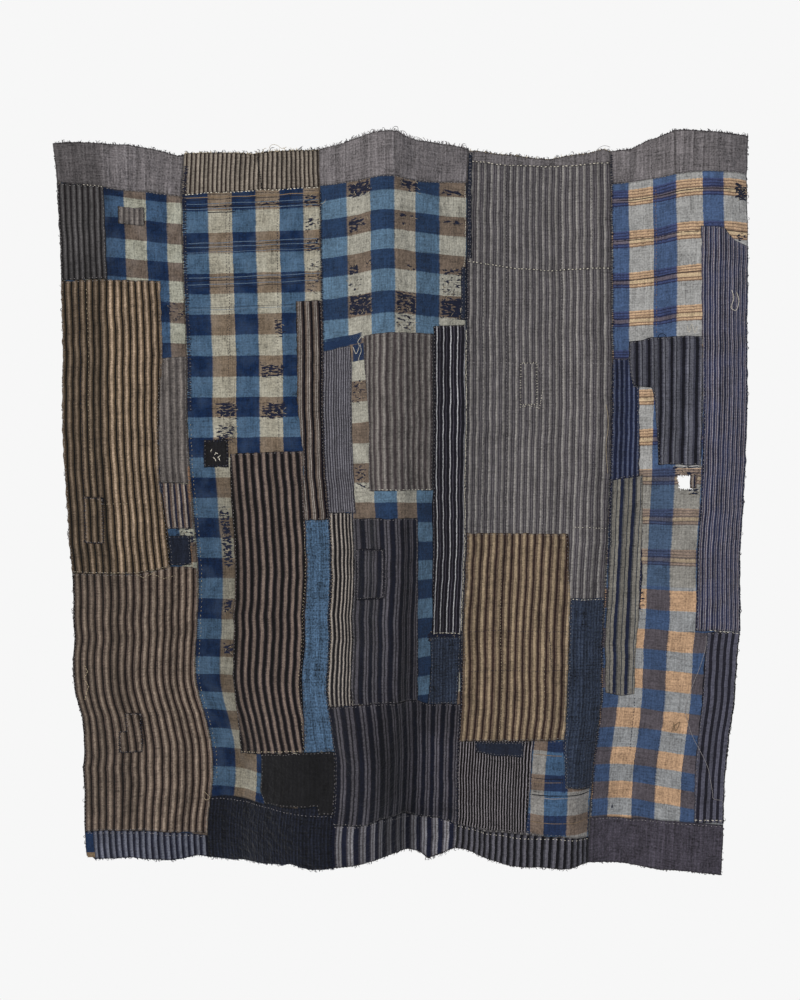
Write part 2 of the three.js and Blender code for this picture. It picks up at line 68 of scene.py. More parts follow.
# How far forward the cloth stands at each place across it, at five heights from the head (0) to the
# foot (1)
FOLD_HEIGHTS = (0, 0.35, 0.68, 0.84, 1)
FOLDS = (  # across, then forward at the head, the upper, lower and low levels, and the foot
    (0, 0, 0, -4, -12, -25),
    (100, 0, -2, 4, -10, -20),
    (190, -34, -32, -36, -30, -20),
    (280, -62, -62, -74, -66, -50),
    (360, -60, -60, -66, -52, -34),
    (450, -50, -50, -50, -2, 24),
    (540, -40, -42, -34, 38, 70),
    (620, -25, -32, -26, 46, 80),
    (700, 8, 8, 28, 86, 52),
    (790, 52, 62, 84, 30, -12),
    (860, 30, 34, 38, -32, -72),
    (930, 5, 2, -10, -68, -100),
    (1000, -8, -20, -44, -70, -72),
    (1100, -32, -38, -42, -22, 2),
    (1200, -50, -42, -4, 36, 62),
    (1280, -30, -20, 12, 50, 72),
    (1360, -14, -18, -6, 14, 30),
    (1430, 12, 8, 6, 14, 20),
    (1500, 56, 52, 46, 48, 54),
    (1580, 66, 68, 80, 90, 98),
    (1648, 46, 52, 80, 100, 118),
)
SEAMS = (  # down, then across at the left edge, the four long seams and the right edge
    (0, -10, 289, 614, 993, 1332, 1652),
    (90, -2, 282, 614, 988, 1332, 1648),
    (250, 3, 280, 612, 988, 1333, 1650),
    (480, 2, 283, 609, 988, 1334, 1647),
    (780, -13, 273, 599, 995, 1335, 1642),
    (920, -20, 273, 596, 1005, 1339, 1638),
    (1090, -13, 276, 595, 1007, 1342, 1650),
    (1200, 2, 285, 614, 1006, 1343, 1644),
    (1320, 18, 297, 627, 1001, 1345, 1639),
    (1440, -7, 293, 625, 996, 1347, 1642),
    (1590, 1, 285, 623, 990, 1342, 1644),
    (1660, 1, 284, 626, 983, 1346, 1646),
)

# Creases pressed into the cloth by folding and sewing, along a line on the flat cloth. A ridge is
# positive and a trough negative.
CREASES = (  # across from, down from, across to, down to, half width, rise
    (790, 4, 742, 78, 5, 1.8),
    (806, 2, 770, 86, 4, -1.4),
    (820, 6, 858, 70, 6, 1.5),
    (30, 20, 90, 78, 8, 1.8),
    (130, 30, 240, 70, 9, 1.6),
    (1400, 10, 1380, 80, 6, 1.4),
    (1540, 8, 1600, 70, 8, 1.6),
    (30, 330, 60, 520, 6, 1.6),
    (70, 700, 190, 760, 9, 1.5),
    (20, 800, 200, 850, 7, 1.4),
    (1010, 1060, 1240, 1090, 7, 1.3),
    (1020, 1290, 1200, 1250, 7, 1.3),
    (320, 1000, 390, 1120, 7, 1.5),
    (680, 960, 700, 1250, 7, -1.6),
    (1060, 420, 1300, 470, 12, 1.2),
    (1080, 700, 1310, 660, 12, 1.2),
    (104, -5, 108, 96, 9, 4.0),
    (800, -5, 806, 92, 8, 2.5),
    (1424, -12, 1430, 88, 4, -2.0),
    (1012, 1188, 1090, 1176, 5, -1.6),
    (985, 1258, 1030, 1262, 5, -1.6),
    (1212, 1120, 1214, 1200, 4, -1.6),
    (60, 560, 130, 700, 22, 1.6),
    (20, 1010, 190, 1060, 14, 1.8),
    (150, 1200, 60, 1330, 18, 1.8),
    (240, 1120, 285, 1250, 12, -1.4),
    (20, 1400, 120, 1370, 12, 1.5),
    (420, 760, 400, 1300, 26, 1.3),
    (1020, 640, 1060, 860, 20, 1.4),
    (1180, 320, 1230, 520, 24, 1.2),
    (1110, 860, 1300, 820, 14, 1.4),
    (1380, 1595, 1400, 1625, 4, -1.8),
    (1392, 1566, 1450, 1558, 4, -1.5),
    (1500, 1230, 1490, 1440, 18, 1.3),
    (1560, 640, 1600, 960, 16, -1.4),
    (660, 1330, 700, 1500, 12, 1.6),
    (880, 1310, 860, 1500, 10, -1.6),
    (1420, 1600, 1460, 1650, 7, 1.8),
    (1470, 1570, 1500, 1630, 8, 2.0),
    (1530, 1560, 1600, 1600, 9, -2.0),
    (1560, 1600, 1640, 1640, 8, 1.8),
    (1600, 1545, 1630, 1620, 7, 1.6),
)


def smooth_curve(xs, ys, x):
    """Cubic through the points (xs, ys), whose slope at each point is that between its two neighbours.
    ys may have a column for each of several curves."""
    xs = np.asarray(xs, float)
    ys = np.asarray(ys, float)
    x = np.asarray(x, float)
    last = len(xs) - 1
    after = np.minimum(np.arange(last + 1) + 1, last)
    before = np.maximum(np.arange(last + 1) - 1, 0)
    rise = ys[after] - ys[before]
    slope = rise / (xs[after] - xs[before]).reshape((-1,) + (1,) * (ys.ndim - 1))
    i = np.clip(np.searchsorted(xs, x) - 1, 0, last - 1)
    span = xs[i + 1] - xs[i]
    t = (x - xs[i]) / span
    shape = t.shape + (1,) * (ys.ndim - 1)
    t = t.reshape(shape)
    span = span.reshape(shape)
    ends = (1 + 2 * t) * (1 - t) ** 2 * ys[i] + t * t * (3 - 2 * t) * ys[i + 1]
    return ends + span * (t * (1 - t) ** 2 * slope[i] + t * t * (t - 1) * slope[i + 1])


def sway(across, down, amount, size, seed):
    """Soft unevenness: the mean of six sine waves of about the given size, in directions, lengths and
    phases drawn from the seed."""
    draw = np.random.default_rng(seed)
    total = np.zeros(np.broadcast(across, down).shape)
    for _ in range(6):
        turn = draw.uniform(0, math.pi)
        length = size * draw.uniform(0.6, 1.6)
        phase = draw.uniform(0, 2 * math.pi)
        run = across * math.cos(turn) + down * math.sin(turn)
        total += np.sin(2 * math.pi * run / length + phase)
    return amount * total / 2.4


def crease_rise(flat, down):
    """Sum of the creases: each falls off as a bell across its line and fades out towards its two ends."""
    total = np.zeros(np.broadcast(flat, down).shape)
    for a0, d0, a1, d1, half, rise in CREASES:
        length = math.hypot(a1 - a0, d1 - d0)
        along = ((flat - a0) * (a1 - a0) + (down - d0) * (d1 - d0)) / length
        off = ((flat - a0) * (d1 - d0) - (down - d0) * (a1 - a0)) / length
        fade = np.minimum(along + CREASE_FADE, length + CREASE_FADE - along) / (2 * CREASE_FADE)
        bell = np.exp(-((off + sway(along, 0, half / 3, 60, 4)) / half) ** 2)
        total += rise * bell * np.clip(fade, 0, 1)
    return total


def seam_puckers(flat, down):
    """Ripples that run out from the four long seams and die away within about 25 mm of them."""
    rows = np.array(SEAMS, float)
    total = np.zeros(np.broadcast(flat, down).shape)
    for k in range(2, 6):
        off = np.abs(flat - np.interp(down, rows[:, 0], rows[:, k]))
        beat = np.sin(2 * math.pi * down / PUCKER_PITCH + sway(0, down, 2.2, 90, k))
        total += PUCKER_RISE * beat * np.exp(-off / PUCKER_REACH)
        total -= SEAM_DIP * np.exp(-(off / SEAM_HALF_WIDTH) ** 2)
    return total


def facing(places):
    """Unit direction to the viewer at each point of a grid: the slope downwards crossed with the slope
    sideways."""
    downwards = np.gradient(places, axis=0)
    sideways = np.gradient(places, axis=1)
    out = np.cross(downwards, sideways)
    return out / np.linalg.norm(out, axis=2, keepdims=True)


flats = np.arange(-MARGIN, CLOTH_WIDTH + MARGIN + WALK, WALK)
downs = np.arange(-MARGIN, CLOTH_HEIGHT + 2 * MARGIN, WALK)
fold_table = np.array(FOLDS, float)
share = downs / CLOTH_HEIGHT
forward = smooth_curve(FOLD_HEIGHTS, fold_table[:, 1:].T, share)
forward = smooth_curve(fold_table[:, 0], forward.T, np.clip(flats, 0, CLOTH_WIDTH)).T
steps = np.sqrt(WALK ** 2 - np.diff(forward, axis=1) ** 2)
sideways = np.concatenate([np.zeros((len(downs), 1)), np.cumsum(steps, axis=1)], axis=1)
crest_column = round((CREST_ACROSS + MARGIN) / WALK)
sideways += CREST_DRIFT * share[:, None] - sideways[:, [crest_column]]
head_row = round(MARGIN / WALK)
crest = forward[head_row, crest_column]
heights = np.broadcast_to((CREST_DOWN - downs)[:, None], sideways.shape)
hung = np.stack([sideways, crest + GROUND_THICKNESS / 2 - forward, heights], axis=2)
flat_grid, down_grid = np.meshgrid(flats, downs)
unevenness = crease_rise(flat_grid, down_grid) + seam_puckers(flat_grid, down_grid)
unevenness += sway(flat_grid, down_grid, 0.9, 90, 11) + sway(flat_grid, down_grid, 0.35, 34, 12)
hung += facing(hung) * unevenness[:, :, None]
hung_out = facing(hung)


def hang(panel, across, down, height):
    """Where a place on the flat panel hangs, in metres: looked up between the four nearest grid points of
    the hung cloth, then moved towards the viewer by its height above the back of the ground cloth."""
    rows = np.array(SEAMS, float)
    across, down, height = np.broadcast_arrays(across, down, height)
    left = np.interp(down, rows[:, 0], rows[:, panel])
    right = np.interp(down, rows[:, 0], rows[:, panel + 1])
    flat = left + (right - left) * across / PANEL_WIDTHS[panel - 1]
    flat = flat + sway(flat, down, 0.45, 70, 21)
    low = down + sway(flat, down, 0.6, 60, 22)
    c = np.clip((flat + MARGIN) / WALK, 0, len(flats) - 1.001)
    r = np.clip((low + MARGIN) / WALK, 0, len(downs) - 1.001)
    i = r.astype(int)
    j = c.astype(int)
    g = (r - i)[..., None]
    f = (c - j)[..., None]
    both = []
    for grid in (hung, hung_out):
        upper = grid[i, j] * (1 - f) + grid[i, j + 1] * f
        lower = grid[i + 1, j] * (1 - f) + grid[i + 1, j + 1] * f
        both.append(upper * (1 - g) + lower * g)
    return (both[0] + both[1] * height[..., None]) * 0.001


def seen_across(panel, across, down):
    """Sideways place as seen from straight in front at the photographer's distance."""
    place = hang(panel, across, down, 0)
    return (place[..., 0] - VIEW_ACROSS) / (place[..., 1] + VIEW_DISTANCE)


def straightened(panel, across, down, level):
    """Where a stripe through each place crosses the given level of the panel, when every stripe hangs
    straight between the panel's two seams, as its folds take up the cloth."""
    width = PANEL_WIDTHS[panel - 1]
    left, here, right = (seen_across(panel, a, down) for a in (0, across, width))
    ruler = np.linspace(0, width, 60)
    marks = seen_across(panel, ruler, level)
    return np.interp((here - left) / (right - left), (marks - marks[0]) / (marks[-1] - marks[0]), ruler)


# First panel
# A blue and cream checked loom width of plain-weave indigo cotton, nearly all of it covered by two long
# brown striped cloths. They and the smaller patches are laid on and sewn down along their turned edges.


def dye(code):
    """An sRGB hex colour as linear red, green, blue and full alpha."""
    parts = [int(code[i:i + 2], 16) / 255 for i in (1, 3, 5)]
    return [p / 12.92 if p <= 0.04045 else ((p + 0.055) / 1.055) ** 2.4 for p in parts] + [1.0]


def add(tree, kind, inputs=None, **settings):
    """Adds one node: settings are its properties, and inputs gives each socket a value or a link."""
    made = tree.nodes.new(kind)
    for key, value in settings.items():
        setattr(made, key, value)
    for key, value in (inputs or {}).items():
        if isinstance(value, bpy.types.NodeSocket):
            tree.links.new(value, made.inputs[key])
        else:
            made.inputs[key].default_value = value
    return made


def figured(tree, operation, *values):
    """The result of one sum on up to three values or links."""
    return add(tree, "ShaderNodeMath", dict(enumerate(values)), operation=operation).outputs[0]


def ranged(tree, value, low, high, to_low=0.0, to_high=1.0, **settings):
    """A value carried from one range over to another and held at its ends."""
    ends = {"Value": value, "From Min": low, "From Max": high, "To Min": to_low, "To Max": to_high}
    return add(tree, "ShaderNodeMapRange", ends, **settings).outputs[0]


def scaled(tree, colour, amount):
    """A colour made lighter or darker."""
    return add(tree, "ShaderNodeVectorMath", {0: colour, "Scale": amount}, operation="SCALE").outputs[0]


def mixed(tree, share, first, second):
    """The first colour where share is 0 and the second where it is 1."""
    return add(tree, "ShaderNodeMix", {0: share, 6: first, 7: second}, data_type="RGBA").outputs[2]


def attribute(tree, name):
    """A value that the mesh holds at each of its points."""
    return add(tree, "ShaderNodeAttribute", attribute_name=name).outputs["Fac"]


def repeat_place(tree):
    """How many stripes across and rows down each place on the piece is."""
    counts = add(tree, "ShaderNodeUVMap", uv_map="repeat").outputs[0]
    return add(tree, "ShaderNodeSeparateXYZ", {0: counts}).outputs


def blank(name):
    """A material whose tree of nodes is still empty."""
    material = bpy.data.materials.new(name)
    material.use_nodes = True
    material.node_tree.nodes.clear()
    return material


def bands(tree, run, table, soft=0.02):
    """Colours that repeat once in each whole step of run. table gives where each band starts in the step
    and its colour; soft is half the width over which one thread colour gives way to the next."""
    ramp = add(tree, "ShaderNodeValToRGB", {0: figured(tree, "FRACT", run)})
    stops = []
    for k, (start, code) in enumerate(table):
        end = table[k + 1][0] if k + 1 < len(table) else 1.0
        stops += [(start + (soft if start > 0 else 0), code), (end - (soft if end < 1 else 0), code)]
    elements = ramp.color_ramp.elements
    for place, code in stops[1:-1]:
        elements.new(place).color = dye(code)
    for k in (0, -1):
        elements[k].position = stops[k][0]
        elements[k].color = dye(stops[k][1])
    return ramp.outputs[0]


WORN_THROUGH = "#161b2e"
BUMP_DEPTH = 0.0015
STRIPE_RAGGED = 0.06
CHECK_RAGGED = 0.03
CHECK_SOFT = 0.015
DYE_DEPTHS = (0.84, 1.18)
GRAINS = (  # name, steps across and down in a centimetre, detail
    ("warp", 3.0, 0.16, 2),
    ("weft", 0.22, 3.2, 2),
    ("blotch", 0.26, 0.2, 3),
    ("patchy", 1.1, 0.9, 3),
    ("speck", 2.6, 2.4, 2),
    ("pucker", 0.5, 0.75, 2),
    ("wear", 0.7, 2.2, 3),
)


def cotton(name, pattern, slub=0.34, mottle=0.22, fade=None, crumple=0.5):
    """Old hand-loom cotton: matt, soft, with uneven threads. The pattern's colour is made lighter and
    darker by streaks along the warp and the weft and by soft blotches, fades towards one colour in large
    areas and is worn through to another in ragged bars. Painted shade darkens it within 3 mm of each
    piece's edge, where it turns in at a seam, and painted light and shade from a table darkens or
    lightens parts of it."""
    material = blank(name)
    tree = material.node_tree
    place = add(tree, "ShaderNodeUVMap", uv_map="place").outputs[0]
    grain = {}
    for key, across, down, detail in GRAINS:
        stretched = add(tree, "ShaderNodeVectorMath", {0: place, 1: (across, down, 1)},
                        operation="MULTIPLY")
        noise = {"Vector": stretched.outputs[0], "Scale": 1.0, "Detail": detail}
        grain[key] = add(tree, "ShaderNodeTexNoise", noise, noise_dimensions="2D").outputs[0]
    bright = 1.0
    for key, amount in (("warp", slub * 1.1), ("weft", slub), ("blotch", mottle * 1.4), ("patchy", mottle),
                        ("speck", slub * 1.5)):
        bright = figured(tree, "MULTIPLY_ADD", figured(tree, "SUBTRACT", grain[key], 0.5), 2 * amount,
                         bright)
    edge = attribute(tree, "edge")
    # Painted shade: the colour darkens to half at each piece's edge and returns to full within 3 mm,
    # standing for the shade where the cloth turns in at a seam.
    bright = figured(tree, "MULTIPLY", bright, ranged(tree, edge, 0.0, 3.0, 0.5))
    # Painted light and shade: the colour is scaled by the per-point factor from the painted light and shade
    # table.
    bright = figured(tree, "MULTIPLY", bright, attribute(tree, "painted_light_and_shade"))
    colour = scaled(tree, pattern(tree, grain), bright)
    if fade:
        far = ranged(tree, grain["blotch"], 0.42, 0.68, 0.0, fade[1])
        colour = mixed(tree, far, colour, dye(fade[0]))
    gone = figured(tree, "MULTIPLY_ADD", attribute(tree, "wear"), 0.5, grain["wear"])
    colour = mixed(tree, ranged(tree, gone, 0.84, 0.88), colour, dye(WORN_THROUGH))
    rise = figured(tree, "MULTIPLY_ADD", grain["patchy"], 3.0 * crumple, grain["weft"])
    rise = figured(tree, "MULTIPLY_ADD", grain["pucker"], 6.0 * crumple, rise)
    rise = figured(tree, "ADD", grain["speck"], rise)
    turned = ranged(tree, edge, 0.0, 4.0, 0.0, 1.2, interpolation_type="SMOOTHSTEP")
    height = figured(tree, "ADD", rise, turned)
    bump = add(tree, "ShaderNodeBump", {"Strength": 1.0, "Distance": BUMP_DEPTH,
                                        "Height": height}).outputs[0]
    cloth = add(tree, "ShaderNodeBsdfPrincipled", {"Base Color": colour, "Roughness": 0.92, "Normal": bump,
                                                   "Specular IOR Level": 0.2, "Sheen Weight": 0.06})
    add(tree, "ShaderNodeOutputMaterial", {"Surface": cloth.outputs[0]})
    return material


def striped(table, soft=0.02):
    """A pattern of warp stripes. The weft makes their edges ragged, and each step's yarn took the dye a
    little more or less deeply."""
    def pattern(tree, grain):
        off = figured(tree, "MULTIPLY_ADD", grain["weft"], STRIPE_RAGGED, repeat_place(tree)[0])
        number = figured(tree, "FLOOR", off)
        lot = add(tree, "ShaderNodeTexWhiteNoise", {"W": number}, noise_dimensions="1D").outputs["Value"]
        return scaled(tree, bands(tree, off, table, soft), ranged(tree, lot, 0.0, 1.0, *DYE_DEPTHS))
    return pattern


def halves(first, second):
    """Two bands of equal width."""
    return ((0, first), (0.5, second))


def checked(dark_rows, light_rows, soft=0.012):
    """A pattern of equal dark and light warp columns crossed by weft rows. The rows are bands of colour,
    with one table for the dark columns and another for the light."""
    def pattern(tree, grain):
        step = repeat_place(tree)
        across = figured(tree, "MULTIPLY_ADD", grain["weft"], CHECK_RAGGED, step[0])
        down = figured(tree, "MULTIPLY_ADD", grain["warp"], CHECK_RAGGED, step[1])
        light = bands(tree, across, halves("#000000", "#ffffff"), CHECK_SOFT)
        return mixed(tree, light, bands(tree, down, dark_rows, soft), bands(tree, down, light_rows, soft))
    return pattern


def split(first, second, row):
    """The first pattern down to a count of rows, and the second from there on."""
    def pattern(tree, grain):
        below = figured(tree, "GREATER_THAN", repeat_place(tree)[1], row)
        return mixed(tree, below, first(tree, grain), second(tree, grain))
    return pattern


def counted(anchors, place):
    """Straight from one (place, count) anchor to the next, and carried on past the first and the last."""
    at, count = np.array(anchors, float).T
    before = (place - at[0]) * (count[1] - count[0]) / (at[1] - at[0])
    after = (place - at[-1]) * (count[-1] - count[-2]) / (at[-1] - at[-2])
    return np.interp(place, at, count) + np.minimum(before, 0) + np.maximum(after, 0)


def along_side(points, key, stops):
    """Points on a side at the given shares of its run, which is across for key 0 and down for key 1."""
    points = np.array(points, float)
    run = points[0, key] + (points[-1, key] - points[0, key]) * stops
    other = np.interp(run, points[:, key], points[:, 1 - key])
    return np.stack([other, run] if key else [run, other], axis=1)


def stops_of(sides, key, length, step):
    """Even shares from 0 to 1 with every corner of two opposite sides among them."""
    corners = [(p[key] - side[0][key]) / (side[-1][key] - side[0][key]) for side in sides for p in side]
    corners = np.unique(np.round(np.clip(corners, 0, 1), 4))
    parts = []
    for a, b in zip(corners, corners[1:]):
        parts.append(np.linspace(a, b, max(2, round((b - a) * length / step) + 1))[:-1])
    return np.append(np.concatenate(parts), 1.0)


def edge_distance(outline, across, down):
    """How far each place lies from the nearest side of a closed outline."""
    nearest = np.full(across.shape, 1e9)
    for (x0, y0), (x1, y1) in zip(outline, outline[1:] + outline[:1]):
        length2 = (x1 - x0) ** 2 + (y1 - y0) ** 2
        t = np.clip(((across - x0) * (x1 - x0) + (down - y0) * (y1 - y0)) / length2, 0, 1)
        nearest = np.minimum(nearest, np.hypot(across - x0 - t * (x1 - x0), down - y0 - t * (y1 - y0)))
    return nearest


def mesh_object(name, points, quads, material):
    """A mesh of four-sided faces, smooth but for the sharp turns."""
    mesh = bpy.data.meshes.new(name)
    mesh.vertices.add(len(points))
    mesh.vertices.foreach_set("co", np.ascontiguousarray(points, np.float32).ravel())
    mesh.loops.add(quads.size)
    mesh.loops.foreach_set("vertex_index", np.ascontiguousarray(quads, np.int32).ravel())
    mesh.polygons.add(len(quads))
    mesh.polygons.foreach_set("loop_start", np.arange(0, quads.size, 4, dtype=np.int32))
    mesh.update(calc_edges=True)
    mesh.polygons.foreach_set("use_smooth", np.ones(len(quads), bool))
    mesh.set_sharp_from_angle(angle=math.radians(50))
    mesh.materials.append(material)
    made = bpy.data.objects.new(name, mesh)
    bpy.context.scene.collection.objects.link(made)
    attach(made, "root")
    return made


def cells_of(number):
    """The four corners of each cell of a grid of point numbers."""
    return np.stack([number[:-1, :-1], number[1:, :-1], number[1:, 1:], number[:-1, 1:]], axis=2)


def closed_sheet(front, back, kept):
    """Front, back and rim of a thin sheet. front and back are grids of points, and kept marks the cells
    between them that are cloth. Returns the points, the faces and the grid place of each point."""
    rows, columns = front.shape[:2]
    number = np.arange(rows * columns).reshape(rows, columns)
    cells = cells_of(number)[kept]
    starts = cells.ravel()
    ends = np.roll(cells, -1, axis=1).ravel()
    size = rows * columns
    free = ~np.isin(starts * size + ends, ends * size + starts)
    a = starts[free]
    b = ends[free]
    rim = np.stack([b, a, a + size, b + size], axis=1)
    quads = np.concatenate([cells, cells[:, ::-1] + size, rim])
    used, quads = np.unique(quads, return_inverse=True)
    points = np.concatenate([front.reshape(-1, 3), back.reshape(-1, 3)])[used]
    return points, quads.reshape(-1, 4), used % size


PLAIN = ((0, 0), (10, 1))
GRID_STEPS = (7, 5, 5)
TORN_STEP = 1.5
HEM_RIDGE = 0.22
EDGE_DIP = 0.3
EDGE_WANDER = (0.8, 28)
STRIPE_WANDER = (0.7, 160)
STRAIGHT_DOWN = 400


def top_of(layer):
    """Height of a layer's front above the back of the ground cloth."""
    return GROUND_THICKNESS + layer * (PATCH_THICKNESS + LAYER_GAP)


def sew(name, panel, layer, cloth, stripes, top, bottom, right=(), left=(), rows=PLAIN, hole=None):
    """One piece of cloth, cut to the outline between its four sides and laid on the panel as its layer.
    Its grid runs between opposite sides. stripes and rows count its pattern across and down."""
    right = [top[-1], *right, bottom[-1]]
    left = [top[0], *left, bottom[0]]
    width = max(p[0] for p in top + bottom + right) - min(p[0] for p in top + bottom + left)
    length = max(p[1] for p in bottom + left + right) - min(p[1] for p in top + left + right)
    us = stops_of((top, bottom), 0, width, GRID_STEPS[layer])
    vs = stops_of((left, right), 1, length, GRID_STEPS[layer])
    if hole:
        us = np.unique(np.concatenate([us, np.arange(*hole["us"], TORN_STEP) / width]))
        vs = np.unique(np.concatenate([vs, (np.arange(*hole["vs"], TORN_STEP) - top[0][1]) / length]))
    upper = along_side(top, 0, us)[None]
    lower = along_side(bottom, 0, us)[None]
    first = along_side(left, 1, vs)[:, None]
    last = along_side(right, 1, vs)[:, None]
    u = us[None, :, None]
    v = vs[:, None, None]
    corners = (1 - v) * ((1 - u) * upper[:, :1] + u * upper[:, -1:])
    corners += v * ((1 - u) * lower[:, :1] + u * lower[:, -1:])
    flat = (1 - v) * upper + v * lower + (1 - u) * first + u * last - corners
    across, down = flat[..., 0], flat[..., 1]
    outline = [*top, *right[1:-1], *bottom[::-1], *left[1:-1][::-1]]
    edge = edge_distance(outline, across, down)
    high = top_of(layer)
    low = high - PATCH_THICKNESS if layer else 0
    hem = HEM_RIDGE * np.exp(-((edge - 4) / 3) ** 2) - EDGE_DIP * np.exp(-edge / 1.5)
    if layer:
        own = sum(ord(letter) for letter in name)
        ragged = np.exp(-edge / 6)
        across = across + ragged * sway(across, down, *EDGE_WANDER, own)
        down = down + ragged * sway(across, down, *EDGE_WANDER, own + 1)
    kept = np.ones((len(vs) - 1, len(us) - 1), bool)
    if hole:
        kept = ~hole["inside"]((across[1:, 1:] + across[:-1, :-1]) / 2, (down[1:, 1:] + down[:-1, :-1]) / 2)
    front = hang(panel, across, down, high + hem)
    points, quads, source = closed_sheet(front, hang(panel, across, down, low), kept)
    piece = mesh_object(name + "_cloth", points, quads, cloth)
    mesh = piece.data
    corner = quads.ravel()
    level = min(down.mean(), STRAIGHT_DOWN) if name.startswith("panel") else down.mean()
    shifted = straightened(panel, across, down, level) + sway(across, down, *STRIPE_WANDER, len(name))
    flat_places = np.stack([across / 10 + 40 * panel, -down / 10], axis=2)
    counts = np.stack([counted(stripes, shifted), counted(rows, down)], axis=2)
    for layer_name, values in (("place", flat_places), ("repeat", counts)):
        uv = mesh.uv_layers.new(name=layer_name)
        uv.data.foreach_set("uv", values.reshape(-1, 2)[source][corner].astype(np.float32).ravel())
    # The painted light and shade factor is stored on each point, beside the edge distance and the wear.
    for key, values in (("edge", edge), ("painted_light_and_shade", painted_light_and_shade(panel, across, down)),
                        ("wear", wear(panel, across, down) * (layer == 0))):
        values = values.ravel()[source].astype(np.float32)
        mesh.attributes.new(key, "FLOAT", "POINT").data.foreach_set("value", values)
    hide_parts(name)
    if layer:
        hems.append((panel, layer, top, right, bottom, left))
    else:
        raw_edges[name] = (panel, top, bottom)
    return piece


# Painted light and shade: parts of the cloth coloured darker where folds turn from the light, and paler in
# a few places
PAINTED_LIGHT_AND_SHADE_AREAS = (  # panel, across, down, half width, half height, factor
    (1, 40, 45, 68, 60, 0.5),
    (1, 50, 210, 80, 112, 0.7),
    (1, 40, 650, 62, 350, 0.45),
    (1, 60, 1280, 80, 310, 0.66),
    (1, 190, 300, 90, 400, 1.06),
    (2, 60, 1150, 60, 420, 0.8),
    (3, 340, 1460, 60, 90, 1.5),
    (3, 340, 1630, 60, 60, 1.35),
    (2, 80, 1130, 20, 330, 0.72),
    (3, 190, 1600, 80, 60, 0.66),
    (3, 140, 1400, 55, 110, 0.8),
    (5, 260, 400, 80, 300, 1.05),
)


def painted_light_and_shade(panel, across, down):
    """Painted light and shade: product over the table of soft-edged areas, each factor holding inside and
    fading out over a third.
    """
    total = np.ones(across.shape)
    for at, a, d, wide, tall, factor in PAINTED_LIGHT_AND_SHADE_AREAS:
        if at == panel:
            far = np.maximum(np.abs(across - a) / wide, np.abs(down - d) / tall)
            total *= 1 + (factor - 1) * np.clip((1.15 - far) / 0.3, 0, 1)
    return total


# Where the weft has rotted or rubbed away and the dark cloth behind shows through in ragged bars
WORN = (  # panel, across from, across to, down from, down to, how far gone
    (3, 76, 144, 96, 128, 0.95),
    (3, 76, 128, 178, 196, 0.9),
    (3, 74, 104, 196, 212, 0.8),
    (3, 214, 262, 96, 116, 0.85),
    (3, 236, 262, 112, 128, 0.7),
    (3, 203, 258, 174, 184, 0.7),
    (3, 222, 248, 194, 204, 0.75),
    (3, 321, 372, 106, 120, 0.85),
    (3, 324, 372, 180, 188, 0.85),
    (3, 76, 104, 282, 306, 0.85),
    (3, 124, 146, 276, 296, 0.6),
    (3, 228, 258, 288, 304, 0.6),
    (3, 322, 376, 290, 306, 0.7),
    (3, 76, 144, 352, 398, 0.95),
    (3, 204, 257, 352, 400, 0.85),
    (3, 204, 254, 404, 440, 0.62),
    (3, 321, 372, 306, 350, 0.55),
    (3, 321, 376, 356, 404, 0.95),
    (3, 70, 110, 318, 344, 0.45),
    (3, 80, 120, 546, 600, 0.6),
    (3, 80, 120, 740, 800, 0.6),
    (2, 60, 128, 124, 132, 0.8),
    (2, 180, 236, 116, 132, 0.7),
    (2, 292, 330, 110, 136, 0.8),
    (2, 292, 330, 156, 190, 0.6),
    (2, 292, 330, 210, 240, 0.75),
    (2, 292, 330, 258, 340, 0.5),
    (2, 212, 236, 394, 440, 0.75),
    (2, 180, 238, 500, 534, 0.8),
    (2, 70, 122, 590, 628, 0.88),
    (2, 182, 240, 592, 630, 0.88),
    (2, 70, 118, 640, 682, 0.7),
    (2, 66, 90, 1056, 1090, 0.8),
    (2, 70, 94, 1162, 1190, 0.8),
    (2, 64, 90, 840, 980, 0.85),
    (5, 270, 305, 112, 150, 0.9),
    (1, 240, 285, 350, 400, 0.5),
    (1, 236, 285, 880, 930, 0.6),
    (5, 60, 90, 1026, 1080, 0.7),
    (5, 140, 210, 744, 770, 0.6),
    (5, 180, 206, 790, 812, 0.7),
    (5, 48, 60, 1514, 1526, 0.95),
    (5, 276, 305, 220, 246, 0.7),
    (3, 296, 386, 1124, 1150, 1.1),
)


def wear(panel, across, down):
    """Most of the table's soft-edged areas at each place: each fades out over about a third of its size."""
    most = np.zeros(across.shape)
    for at, a0, a1, d0, d1, gone in WORN:
        if at == panel:
            far = np.maximum(np.abs(2 * across - a0 - a1) / (a1 - a0),
                             np.abs(2 * down - d0 - d1) / (d1 - d0))
            most = np.maximum(most, gone * np.clip((1.2 - far) / 0.35, 0, 1))
    return most


hems = []
raw_edges = {}

HEAD_SEAM_1 = [(0, 90), (90, 99), (130, 104), (200, 100), (255, 101), (285, 103)]
FOOT_SEAM_1 = [(0, 1590), (63, 1586), (141, 1587), (203, 1595), (285, 1611)]

